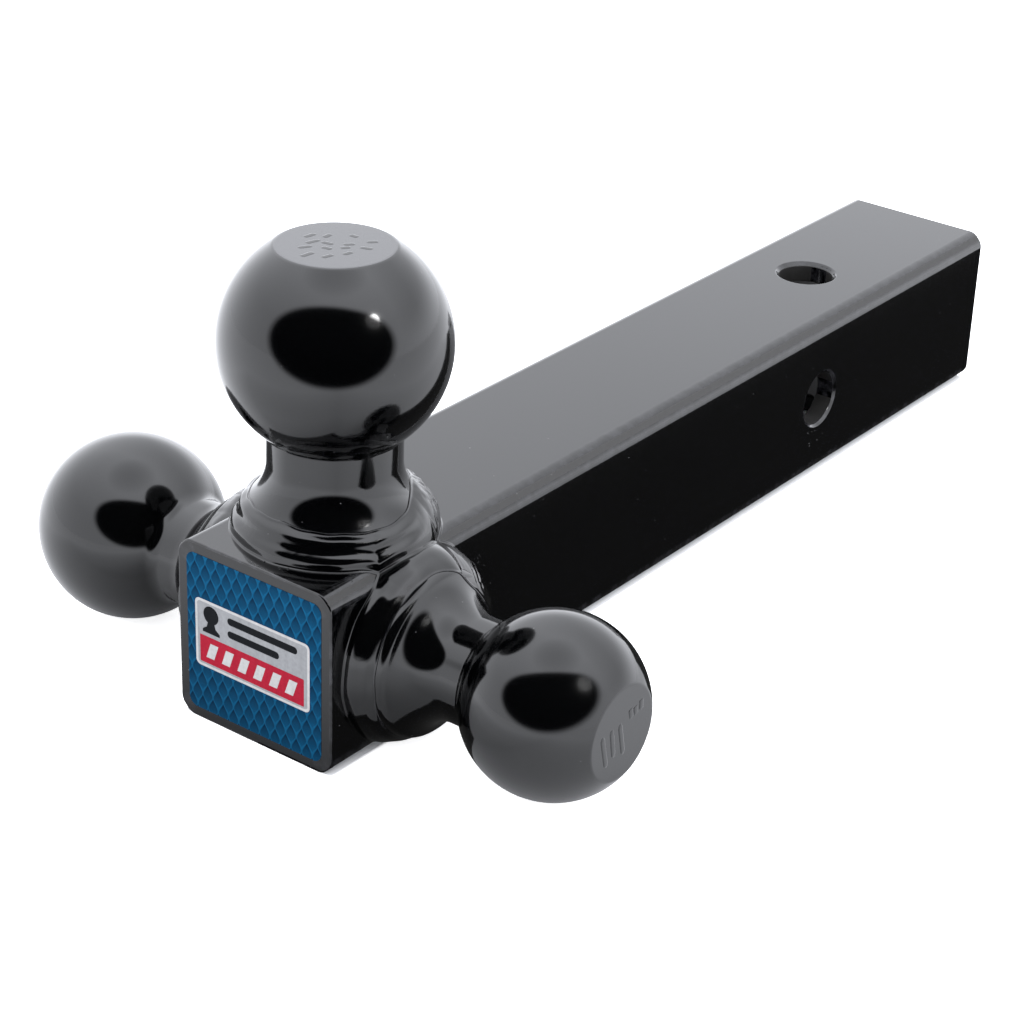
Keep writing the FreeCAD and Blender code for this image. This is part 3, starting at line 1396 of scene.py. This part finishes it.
        place = graph.add("GeometryNodeInputPosition").outputs[0]
        broad, fine = (
            graph.add(
                "ShaderNodeTexNoise",
                {"Vector": place, "Scale": scale, "Detail": detail, "W": given.outputs["Seed"]},
                noise_dimensions="4D",
            ).outputs[0]
            for scale, detail in ((170.0, 2.0), (900.0, 3.0))
        )
        middle = graph.math("SUBTRACT", stored("share"), 0.5)
        bow = graph.math("MULTIPLY", graph.math("MULTIPLY", middle, middle), given.outputs["Crescent"])
        turns = graph.math("DIVIDE", stored("along"), given.outputs["Ripple pitch"])
        bent = graph.math("ADD", turns, graph.math("MULTIPLY", bow, 4.0))
        warped = graph.math("MULTIPLY_ADD", broad, 3.4, bent)
        saw = graph.math("FRACT", warped)
        hump = graph.math("SINE", graph.math("MULTIPLY", saw, math.pi))
        scallop = graph.math("SUBTRACT", graph.math("POWER", hump, 0.6), 0.6)
        lumps = graph.math("MULTIPLY", graph.math("SUBTRACT", broad, 0.5), 3.6)
        crumbs = graph.math("MULTIPLY", graph.math("SUBTRACT", fine, 0.5), 0.8)
        rough = graph.math("ADD", graph.math("ADD", scallop, lumps), crumbs)
        wave = graph.math("SINE", graph.math("MULTIPLY", warped, 2 * math.pi))
        soft = graph.math("MULTIPLY", wave, given.outputs["Smooth share"])
        amount = graph.math("MULTIPLY_ADD", rough, stored("rough"), soft)
        weighed = graph.math("MULTIPLY", amount, stored("weight"))
        normal = graph.add("GeometryNodeInputNormal").outputs[0]
        shift = graph.scaled(normal, weighed)
        moved = graph.add(
            "GeometryNodeSetPosition", {"Geometry": given.outputs["Geometry"], "Offset": shift}
        ).outputs[0]
        return close_tree(graph, given, result, moved)

    def build(self, finish: bpy.types.Material) -> bpy.types.Object:
        """The finished bead.

        Args:
            finish: Its paint.

        Returns:
            The bead.
        """
        rings, weight, share, along, rough = [], [], [], [], []
        for step in range(self.steps):
            angle = 360.0 * step / self.steps
            points, weights, shares = self.section(angle)
            turn = math.radians(angle)
            ring = np.array([(r * math.sin(turn), -r * math.cos(turn), z) for r, z in points])
            rings.append(ring)
            weight += weights
            share += shares
            along += [turn * self.leg] * len(points)
            rough += [bumps(angle, self.roughs)] * len(points)
        corners, faces = loft(rings, closed=True)
        if self.floor_side:
            limit = HALF_WIDTH - 0.04 * MM
            toward = corners[:, 0] * self.floor_side
            corners[:, 0] = np.where(toward > limit, limit * self.floor_side, corners[:, 0])
        stored = {"weight": weight, "share": share, "along": along, "rough": rough}
        made = mesh_from(f"{self.ball.side.value}_weld_bead", self.ball.side.place(corners), faces, stored)
        outward(made)
        made.data.shade_smooth()
        run_tree(made, self.tree(), {"Ripple pitch": self.pitch, "Seed": self.seed, "Material": finish})
        mark_edges(made, 0.3 * MM)
        put_on(made, finish, "weld_paint", f"{self.ball.side.value}_ball_weld")
        return made


@dataclass
class Spatter:
    """Small painted-over beads of weld spatter near the balls' feet.

    Attributes:
        places: Centre and radius of each group, and the number of beads in it, in the part's frame.
        crumbs: Centre (Y), radius, height and first and last angle of the crumbs round a bore's mouth.
        seed: Seed of the beads' places and sizes.
    """

    places: Sequence[tuple[tuple[float, float, float], float, int]]
    crumbs: tuple[float, float, float, float, float] = (28.6 * MM, 9.0 * MM, 24.85 * MM, 38.0, 92.0)
    seed: int = 11

    def tree(self) -> bpy.types.NodeTree:
        """Geometry nodes: a small round bead of a random size on each point.

        Returns:
            The tree.
        """
        inputs = [
            ("Geometry", "NodeSocketGeometry", None),
            ("Smallest", "NodeSocketFloat", 0.1 * MM),
            ("Largest", "NodeSocketFloat", 0.26 * MM),
            ("Seed", "NodeSocketInt", 1),
            ("Material", "NodeSocketMaterial", None),
        ]
        graph, given, result = new_group(
            "weld_spatter", "GeometryNodeTree", inputs, [("Geometry", "NodeSocketGeometry")]
        )
        bead = graph.add("GeometryNodeMeshIcoSphere", {"Radius": 1.0, "Subdivisions": 3}).outputs[0]
        size = graph.add(
            "FunctionNodeRandomValue",
            {2: given.outputs["Smallest"], 3: given.outputs["Largest"], "Seed": given.outputs["Seed"]},
            data_type="FLOAT",
        ).outputs[1]
        scale = graph.add("ShaderNodeCombineXYZ", {0: size, 1: size, 2: size}).outputs[0]
        placed = graph.add(
            "GeometryNodeInstanceOnPoints", {
                "Points": given.outputs["Geometry"], "Instance": bead, "Scale": scale
            }
        )
        return close_tree(graph, given, result, placed.outputs[0])

    def build(self, finish: bpy.types.Material) -> bpy.types.Object:
        """The finished spatter.

        Args:
            finish: Its paint.

        Returns:
            The spatter, as one piece.
        """
        chance = np.random.default_rng(self.seed)
        rows = []
        for centre, reach, count in self.places:
            for _ in range(count):
                spot = np.array(centre) + chance.normal(0, 0.5, 3) * reach
                rows.append(self.drop(spot))
        middle, reach, level, first, last = self.crumbs
        for turn in np.radians(chance.uniform(first, last, 12)):
            away = reach + chance.normal(0, 0.15) * MM
            rows.append((away * math.cos(turn), middle + away * math.sin(turn), level))
        made = mesh_from("weld_spatter", np.array(rows), [])
        run_tree(made, self.tree(), {"Seed": self.seed, "Material": finish})
        put_on(made, finish, "weld_paint")
        return made

    @staticmethod
    def drop(spot: Points) -> tuple[float, float, float]:
        """The nearest place on the tube's outside, its front end left free.

        Args:
            spot: Any place near the tube.

        Returns:
            The place on its surface.
        """
        x, y, z = spot
        y = max(y, FRONT_Y + 1.5 * MM)
        flat = HALF_WIDTH - 5 * MM
        cx, cz = min(max(x, -flat), flat), min(max(z, -flat), flat)
        dx, dz = x - cx, z - cz
        if math.hypot(dx, dz) < 1e-6:
            return (cx, y, HALF_WIDTH)
        reach = 5 * MM / math.hypot(dx, dz)
        return (cx + dx * reach, y, cz + dz * reach)


def rounded_rectangle(
    width: float, height: float, radius: float, centre: tuple[float, float] = (0.0, 0.0)
) -> list[tuple[float, float]]:
    """Outline of a rectangle with round corners, in X and Z.

    Args:
        width: Its width, along X.
        height: Its height, along Z.
        radius: Radius of its corners.
        centre: Its middle.

    Returns:
        The outline's points.
    """
    points = []
    for quarter, (sx, sz) in enumerate(((1, 1), (-1, 1), (-1, -1), (1, -1))):
        middle = (centre[0] + sx * (width / 2 - radius), centre[1] + sz * (height / 2 - radius))
        points += arc(middle, radius, 90 * quarter, 90 * quarter + 90, 10)
    return points


@dataclass
class Label:
    """The printed film on the front face, built up in thin layers.

    Attributes:
        effects: The shared shader effects.
        size: Width of the square film.
        corner: Radius of its corners.
        thickness: Thickness of the whole film.
        badge: Width, height and centre (X, Z) of the light badge.
        border: Width of the badge's plain edge.
        band: Width, height and centre (X, Z) of the red band.
    """

    effects: Effects
    size: float = 44.6 * MM
    corner: float = 2.6 * MM
    thickness: float = 0.2 * MM
    badge: tuple[float, float, float, float] = (38.2 * MM, 19.4 * MM, -0.5 * MM, 0.4 * MM)
    border: float = 0.75 * MM
    band: tuple[float, float, float, float] = (34.85 * MM, 7.8 * MM, -0.68 * MM, -4.1 * MM)

    def layer(
        self,
        name: str,
        outline: Sequence[tuple[float, float]],
        level: tuple[float, float],
        finish: bpy.types.Material,
        *nodes: str,
    ) -> bpy.types.Object:
        """One flat layer.

        Args:
            name: Name of the piece.
            outline: Its outline in X and Z.
            level: Share of the film's thickness where it starts and ends.
            finish: Its material.
            *nodes: The CAD nodes that it stands for.

        Returns:
            The piece.
        """
        edge = 0.15 * (level[1] - level[0]) * self.thickness
        middle = np.mean(outline, axis=0)
        rings = []
        low, high = level[0] * self.thickness, level[1] * self.thickness
        for depth, inset in ((low, 0.0), (high - edge, 0.0), (high, edge)):
            ring = []
            for x, z in outline:
                reach = math.hypot(x - middle[0], z - middle[1])
                keep = 1.0 - inset / max(reach, 1e-6)
                across, up = middle[0] + (x - middle[0]) * keep, middle[1] + (z - middle[1]) * keep
                ring.append((across, FRONT_Y - depth, up))
            rings.append(np.array(ring))
        points, faces = loft(rings, closed=False)
        count = len(outline)
        last = len(points) - 1
        faces = list(faces) + [tuple(range(count)), tuple(range(last, last - count, -1))]
        made = mesh_from(name, points, faces)
        outward(made)
        put_on(made, finish, "label_film", *nodes)
        return made

    def pictogram(self) -> list[tuple[float, float]]:
        """Outline of a plain ball on a flared foot.

        Returns:
            The outline's points, X and Z.
        """
        cx, cz = -14.2 * MM, 5.0 * MM
        half = [(2.9 * MM, -4.1 * MM), (2.9 * MM, -3.3 * MM), (1.5 * MM, -2.3 * MM), (1.15 * MM, -1.1 * MM)]
        ball = arc((0.0, 1.25 * MM), 2.55 * MM, -62, 90, 18)
        right = half + ball
        left = [(-x, z) for x, z in reversed(right[:-1])]
        return [(cx + x, cz + z) for x, z in right + left]

    def build(self) -> None:
        """The finished label."""
        badge_w, badge_h, badge_x, badge_z = self.badge
        band_w, band_h, band_x, band_z = self.band
        film = PrintedScales().build(self.effects)
        pale = PrintedInk("printed_edge", (0.29, 0.286, 0.282), roughness=0.3).build(self.effects)
        silver = PrintedInk(
            "printed_silver", (0.176, 0.179, 0.184), roughness=0.32, brushed=0.002 * MM, contrast=0.14
        ).build(self.effects)
        red = PrintedInk("printed_red", (0.21, 0.009, 0.02), roughness=0.26).build(self.effects)
        dark = PrintedInk("printed_dark", (0.006, 0.0065, 0.0075), roughness=0.3).build(self.effects)
        shadow = PrintedInk("printed_shadow", (0.002, 0.02, 0.055), roughness=0.28).build(self.effects)

        self.layer(
            "label_film", rounded_rectangle(self.size, self.size, self.corner), (0.0, 0.5), film, "label"
        )
        around = rounded_rectangle(badge_w + 0.5 * MM, badge_h + 0.5 * MM, 1.7 * MM, (badge_x, badge_z))
        self.layer("label_badge_shadow", around, (0.4, 0.56), shadow)
        self.layer(
            "label_badge_edge",
            rounded_rectangle(badge_w, badge_h, 1.5 * MM, (badge_x, badge_z)),
            (0.4, 0.66),
            pale,
        )
        inset = 2 * self.border
        face = rounded_rectangle(badge_w - inset, badge_h - inset, 0.9 * MM, (badge_x, badge_z))
        self.layer("label_badge_face", face, (0.5, 0.74), silver)
        self.layer(
            "label_band", rounded_rectangle(band_w, band_h, 0.25 * MM, (band_x, band_z)), (0.6, 0.84), red
        )
        self.layer("label_pictogram", self.pictogram(), (0.6, 0.9), dark)
        for i, (x0, x1, z, tall) in enumerate(((-8.6, 14.6, 6.9, 2.0), (-8.6, 8.6, 3.2, 2.0))):
            bar = rounded_rectangle((x1 - x0) * MM, tall * MM, 0.98 * MM, ((x0 + x1) / 2 * MM, z * MM))
            self.layer(f"label_dark_bar_{i + 1}", bar, (0.6, 0.9), dark)
        slant, wide, tall = 1.5 * MM, 2.7 * MM, 4.3 * MM
        for i in range(6):
            x = band_x + (i - 2.5) * 5.3 * MM
            low, high = band_z - tall / 2, band_z + tall / 2
            corners = [(x - (wide + slant) / 2, low), (x + (wide - slant) / 2, low)]
            corners += [(x + (wide + slant) / 2, high), (x - (wide - slant) / 2, high)]
            self.layer(f"label_slant_{i + 1}", corners, (0.7, 0.98), pale)


# ---------------------------------------------------------------------------------------------
# Studio
# ---------------------------------------------------------------------------------------------


@dataclass
class Studio:
    """The floor, the light and the camera.

    Attributes:
        position: Where the camera stands.
        right: The camera's right.
        up: The camera's up.
        lens: Focal length in millimetres on a 36 mm sensor.
        floor_size: Width of the floor.
        window_centre: Centre of the sphere that the dark camera opening lies on.
        window_reach: Radius of that sphere.
        window_at: Azimuth and elevation of the opening's middle, in degrees.
        window_size: Half width and half height of the opening, in degrees.
        window_turn: How far the opening is turned in its own plane, in radians.
        window_bow: How much the opening bends upward towards its sides.
        lamp: Place of the small bright lamp.
        lamp_radius: Radius of the lamp.
        lamp_strength: Radiance of the lamp.
        sky: Share of the way from straight down to straight up, and the light from there.
        sky_scale: What the sky's light is divided by to fit a colour ramp.
    """

    position: Vector = field(default_factory=lambda: Vector((392.84, -647.31, 339.54)) * MM)
    right: Vector = field(default_factory=lambda: Vector((0.79121, 0.61066, 0.03303)))
    up: Vector = field(default_factory=lambda: Vector((-0.30410, 0.34600, 0.88759)))
    lens: float = 94.19
    floor_size: float = 12.0
    window_centre: Vector = field(default_factory=lambda: Vector((-9.1, -196.7, 127.6)) * MM)
    window_reach: float = 250.0 * MM
    window_at: tuple[float, float] = (37.6, 8.0)
    window_size: tuple[float, float] = (60.0, 38.0)
    window_turn: float = -0.06
    window_bow: float = 0.025
    lamp: Vector = field(default_factory=lambda: Vector((467.0, -218.0, 423.0)) * MM)
    lamp_radius: float = 48.0 * MM
    lamp_strength: float = 60.0
    sky: Sequence[tuple[float, float]] = (
        (0.0, 0.3), (0.03, 0.8), (0.08, 1.45), (0.16, 1.9), (0.305, 2.25),
        (0.5, 2.6), (0.725, 2.65), (0.885, 3.2), (0.95, 3.5), (1.0, 2.6),
    )
    sky_scale: float = 5.0

    def add_camera(self) -> None:
        """The camera, at the chosen place."""
        camera = bpy.data.objects.new("camera", bpy.data.cameras.new("camera"))
        bpy.context.scene.collection.objects.link(camera)
        camera.data.lens = self.lens
        camera.data.sensor_width = 36.0
        camera.data.clip_start = 0.01
        camera.data.clip_end = 50.0
        right, up = self.right.normalized(), self.up.normalized()
        back = right.cross(up).normalized()
        turn = Matrix((right, up, back)).transposed().to_4x4()
        camera.matrix_world = Matrix.Translation(self.position) @ turn
        bpy.context.scene.camera = camera

    def add_floor(self) -> None:
        """A plain pale floor, white to the camera, with a painted contact shadow seen in reflections."""
        material, graph = new_material("studio_floor")
        place = graph.place()
        noise = graph.add("ShaderNodeTexNoise", {"Vector": place, "Scale": 3.0}).outputs[0]
        colour = graph.mix(noise, (0.86, 0.86, 0.86, 1.0), (0.88, 0.88, 0.88, 1.0))
        axes = graph.add("ShaderNodeSeparateXYZ", {0: place}).outputs
        beside = graph.math("SUBTRACT", graph.math("ABSOLUTE", axes[0]), HALF_WIDTH)
        before = graph.math("SUBTRACT", FRONT_Y, axes[1])
        behind = graph.math("SUBTRACT", axes[1], REAR_Y)
        away = graph.math("MAXIMUM", beside, graph.math("MAXIMUM", before, behind))
        rays = graph.add("ShaderNodeLightPath").outputs
        lift = graph.math("MULTIPLY", rays["Is Camera Ray"], graph.ramp(away, -1 * MM, 0.0, 0.0, 0.75))
        # Painted contact shadow: reflections see the floor darkened by 0.6 at the object's footprint,
        # fading to nothing 190 mm out.
        shade = graph.math(
            "ADD",
            graph.ramp(away, 0.0, 50 * MM, 0.6, 0.34),
            graph.ramp(away, 50 * MM, 190 * MM, 0.0, -0.34),
        )
        keep = graph.math("SUBTRACT", 1.0, graph.math("MULTIPLY", rays["Is Glossy Ray"], shade))
        colour = graph.scaled(colour, keep)
        shader = finish_material(graph, {"Base Color": colour, "Roughness": 0.8, "Emission Strength": lift})
        shader.inputs["Emission Color"].default_value = (1.0, 1.0, 1.0, 1.0)
        shader.inputs["Specular IOR Level"].default_value = 0.0
        half, z = self.floor_size / 2, -HALF_WIDTH - 0.05 * MM
        corners = np.array([(-half, -half, z), (half, -half, z), (half, half, z), (-half, half, z)])
        floor = mesh_from("studio_floor", corners, [(0, 1, 2, 3)])
        wear_material(floor, material)

    @staticmethod
    def glow(name: str, strength: float, fade: tuple[float, float] | None) -> bpy.types.Material:
        """An even glow, fading to nothing over the given range of the attribute "rim".

        Args:
            name: The material's name.
            strength: Its radiance.
            fade: Where the glow starts to fade and where it ends, or None.

        Returns:
            The material.
        """
        material, graph = new_material(name)
        light = graph.add("ShaderNodeEmission", {"Strength": strength}).outputs[0]
        if fade:
            rim = graph.add("ShaderNodeAttribute", attribute_name="rim").outputs["Fac"]
            clear = graph.ramp(rim, *fade)
            nothing = graph.add("ShaderNodeBsdfTransparent").outputs[0]
            light = graph.add("ShaderNodeMixShader", {0: clear, 1: light, 2: nothing}).outputs[0]
        graph.add("ShaderNodeOutputMaterial", {"Surface": light})
        return material

    @staticmethod
    def only_in_reflections(made: bpy.types.Object) -> None:
        """Let a piece of studio gear, or a painted shadow sheet, show in reflections only.

        Args:
            made: The piece.
        """
        made.visible_camera = False
        made.visible_diffuse = False
        made.visible_shadow = False
        made.visible_transmission = False

    def add_window(self) -> None:
        """The dark opening that the camera looks through, seen in the gloss of the balls."""
        az, el = (math.radians(a) for a in self.window_at)
        n = Vector((math.sin(az) * math.cos(el), -math.cos(az) * math.cos(el), math.sin(el)))
        across = Vector((math.cos(az), math.sin(az), 0.0))
        upward = across.cross(n)
        upward = -upward if upward.z < 0 else upward
        c, s = math.cos(self.window_turn), math.sin(self.window_turn)
        points, rims, rings = [], [], 12
        for ring in range(1, rings + 1):
            share = 1.12 * ring / rings
            for step in range(96):
                turn = 2 * math.pi * step / 96
                u = self.window_size[0] * share * math.cos(turn)
                v = self.window_size[1] * share * math.sin(turn)
                v += self.window_bow * u * u / 100
                u, v = math.radians(c * u - s * v), math.radians(s * u + c * v)
                ray = (n * math.cos(u) + across * math.sin(u)) * math.cos(v) + upward * math.sin(v)
                points.append(self.window_centre + ray * self.window_reach)
                rims.append(share)
        faces = [tuple(range(96))]
        for ring in range(rings - 1):
            for step in range(96):
                there = (step + 1) % 96
                faces.append(
                    (ring * 96 + step, ring * 96 + there, (ring + 1) * 96 + there, (ring + 1) * 96 + step)
                )
        window = mesh_from("studio_opening", np.array(points), faces, {"rim": np.array(rims)})
        wear_material(window, self.glow("studio_opening", 0.004, (0.95, 1.07)))
        self.only_in_reflections(window)

    def add_painted_floor_shadow(self) -> None:
        """A dark sheet beside the shank, which its side face mirrors: painted shadow for the shaded floor
        there.
        """
        outline = (
            (0.5, -226), (33, -226), (44, -209), (60, -186), (75, -176), (88, -172), (88, 260), (0.5, 260)
        )
        z = -HALF_WIDTH - 0.02 * MM
        corners = np.array([(x * MM, y * MM, z) for x, y in outline])
        card = mesh_from("studio_dark_card", corners, [tuple(range(len(outline)))])
        # Painted shadow: a faint 0.05 glow, seen only in reflections, standing in for the floor's shade
        # beside the shank.
        wear_material(card, self.glow("studio_dark_card", 0.05, None))
        self.only_in_reflections(card)

    def add_lamp(self) -> None:
        """The small bright lamp whose spark shows on each ball."""
        axis = (Vector((0, BALL_Y, 0)) - self.lamp).normalized()
        side = axis.orthogonal().normalized()
        other = axis.cross(side)
        angles = [2 * math.pi * i / 32 for i in range(32)]
        points = [self.lamp + (side * math.cos(a) + other * math.sin(a)) * self.lamp_radius for a in angles]
        lamp = mesh_from("studio_lamp", np.array(points), [tuple(range(32))])
        wear_material(lamp, self.glow("studio_lamp", self.lamp_strength, None))
        self.only_in_reflections(lamp)

    def add_world(self) -> None:
        """Soft light from all round, brighter from above and from the right, white behind the object."""
        world = bpy.data.worlds.new("studio")
        bpy.context.scene.world = world
        world.use_nodes = True
        graph = Graph(world.node_tree)
        ray = graph.add("ShaderNodeTexCoord").outputs["Generated"]
        axes = graph.add("ShaderNodeSeparateXYZ", {0: ray}).outputs
        level = graph.ramp(axes[2], -1.0, 1.0)
        ramp = graph.add("ShaderNodeValToRGB", {0: level})
        while len(ramp.color_ramp.elements) < len(self.sky):
            ramp.color_ramp.elements.new(0.5)
        for element, (at, value) in zip(ramp.color_ramp.elements, self.sky):
            element.position = at
            element.color = (value / self.sky_scale,) * 3 + (1.0,)
        behind = graph.math("MULTIPLY", graph.ramp(axes[1], 0.35, 0.75), graph.ramp(axes[2], 0.1, 0.35))
        darker = graph.math("MULTIPLY_ADD", behind, -0.3, graph.math("MULTIPLY_ADD", axes[1], 0.13, 1.0))
        gain = graph.math("MULTIPLY_ADD", axes[0], 0.04, darker)
        strength = graph.math("MULTIPLY", graph.math("MULTIPLY", ramp.outputs[0], gain), self.sky_scale)
        soft = graph.add(
            "ShaderNodeBackground", {"Color": (0.955, 0.975, 1.03, 1.0), "Strength": strength}
        ).outputs[0]
        white = graph.add(
            "ShaderNodeBackground", {"Color": (1.0, 1.0, 1.0, 1.0), "Strength": 1.05}
        ).outputs[0]
        seen = graph.add("ShaderNodeLightPath").outputs["Is Camera Ray"]
        both = graph.add("ShaderNodeMixShader", {0: seen, 1: soft, 2: white}).outputs[0]
        graph.add("ShaderNodeOutputWorld", {"Surface": both})

    def build(self) -> None:
        """Everything round the object."""
        self.add_camera()
        self.add_world()
        self.add_floor()
        self.add_window()
        self.add_painted_floor_shadow()
        self.add_lamp()
        scene = bpy.context.scene
        scene.view_settings.view_transform = "Standard"
        scene.view_settings.look = "None"


# ---------------------------------------------------------------------------------------------
# The whole mount
# ---------------------------------------------------------------------------------------------


@dataclass
class HitchMount:
    """The whole object: shank, end plate, three balls, their welds and the label."""

    effects: Effects = field(default_factory=Effects)

    def balls(self) -> dict[Side, BallForging]:
        """The three forgings, by side.

        Returns:
            The forgings.
        """
        sizes = {
            Side.TOP: (29.37, 4.2, 17.2, 7.0, 10.9, 21.5, 7.6, 0.8),
            Side.LEFT: (25.4, 3.7, 14.4, 3.86, 12.3, 22.5, 7.2, 2.5),
            Side.RIGHT: (23.815, 3.6, 14.2, 5.0, 13.2, 22.5, 7.2, 2.5),
        }
        special = {Side.TOP: {"crown_edge": 2.2 * MM}, Side.LEFT: {"junction": 4.5 * MM}}
        return {
            side: BallForging(side, *(size * MM for size in row), **special.get(side, {}))
            for side, row in sizes.items()
        }

    def beads(self, balls: dict[Side, BallForging]) -> list[WeldBead]:
        """The three weld beads.

        Args:
            balls: The forgings, by side.

        Returns:
            The beads.
        """
        top = WeldBead(
            balls[Side.TOP], leg=26.3 * MM, rim=7.9 * MM, swell=0.45 * MM,
            rises=((0, 60, 0.7 * MM), (140, 62, 4.2 * MM), (250, 60, -0.2 * MM)),
            bulges=((140, 60, 1.3 * MM),),
            roughs=((155, 48, 0.6 * MM), (235, 50, 0.25 * MM)),
            lobes=0.6 * MM, seed=1.0,
        )
        left = WeldBead(
            balls[Side.LEFT], leg=26.3 * MM, rim=7.3 * MM, swell=0.7 * MM,
            rises=((90, 50, 0.5 * MM), (150, 60, 2.5 * MM)),
            bulges=((140, 70, 0.9 * MM),),
            roughs=((125, 75, 0.4 * MM), (200, 60, 0.35 * MM)),
            floor_side=-1, lobes=0.12 * MM, seed=4.0,
        )
        right = WeldBead(
            balls[Side.RIGHT], leg=26.3 * MM, rim=7.0 * MM, swell=0.7 * MM,
            rises=((215, 65, 5.0 * MM),),
            bulges=((215, 60, 1.1 * MM),),
            roughs=((190, 55, 0.55 * MM),),
            floor_side=1, lobes=0.12 * MM, seed=7.0,
        )
        return [top, left, right]

    def spatter(self) -> Spatter:
        """Spatter at the front toe, in the corner between two beads and behind them.

        Returns:
            The spatter.
        """
        rows = (
            (0, -221.3, 26, 1.8, 7),
            (7, -220.6, 26, 1.6, 5),
            (21.5, -213, 25, 1.6, 9),
            (24.5, -168, 13, 1.8, 6),
            (10, -168, 26, 1.5, 4),
            (-24.5, -169, 8, 1.8, 4),
            (25.4, -2, -13, 5.0, 8),
        )
        return Spatter([((x * MM, y * MM, z * MM), reach * MM, count) for x, y, z, reach, count in rows])

    def build(self) -> None:
        """Every piece of the object, in order."""
        shank_paint = GlossPaint(
            "paint_shank",
            roughness=(0.085, 0.1),
            peel_size=7 * MM,
            peel_height=0.0015 * MM,
            dust_spacing=3 * MM,
        ).build(self.effects)
        inside_paint = GlossPaint(
            "paint_inside",
            roughness=(0.22, 0.34),
            peel_height=0.02 * MM,
            dust=0.2,
            lines_height=0.0008 * MM,
        ).build(self.effects)
        ball_paint = GlossPaint(
            "paint_ball",
            roughness=(0.085, 0.11),
            peel_size=6 * MM,
            dust=0.12,
        ).build(self.effects)
        weld_paint = GlossPaint(
            "paint_weld",
            roughness=(0.07, 0.1),
            peel_size=2.2 * MM,
            peel_height=0.007 * MM,
            dust=0.12,
        ).build(self.effects)
        Shank(shank_paint).build()
        for node in ("end_plate", "end_plate_weld"):
            wear_material(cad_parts[node], inside_paint)
        balls = self.balls()
        for ball in balls.values():
            ball.build(ball_paint)
        StampedMarks(
            balls[Side.TOP],
            rows=(
                (-6.2 * MM, -6.0 * MM, 4, 3.9 * MM, 1.0),
                (-1.4 * MM, -7.0 * MM, 4, 4.2 * MM, 0.8),
                (3.4 * MM, -5.6 * MM, 4, 3.7 * MM, 0.7),
                (7.8 * MM, -2.0 * MM, 2, 4.0 * MM, 0.8),
            ),
            bar=(4.2 * MM, 1.8 * MM, 0.1 * MM), turn=38.0, sunk=0.055 * MM, uneven=1.0, scatter=1.2 * MM,
        ).build(ball_paint)
        StampedMarks(
            balls[Side.RIGHT],
            rows=((1.2 * MM, -7.0 * MM, 3, 3.3 * MM, 1.5), (-3.6 * MM, 3.9 * MM, 3, 2.0 * MM, 0.45)),
            bar=(6.5 * MM, 1.9 * MM, 0.26 * MM), turn=6.0, sunk=0.1 * MM, uneven=0.16, scatter=0.6 * MM,
        ).build(ball_paint)
        StampedMarks(balls[Side.LEFT], turn=160.0).build(ball_paint)
        for bead in self.beads(balls):
            bead.build(weld_paint)
        self.spatter().build(weld_paint)
        Label(self.effects).build()


def main() -> None:
    """Build the object and its studio, and note the sizes."""
    logging.basicConfig(level=logging.INFO, format="%(name)s: %(message)s")
    HitchMount().build()
    Studio().build()


if __name__ == "__main__":
    main()
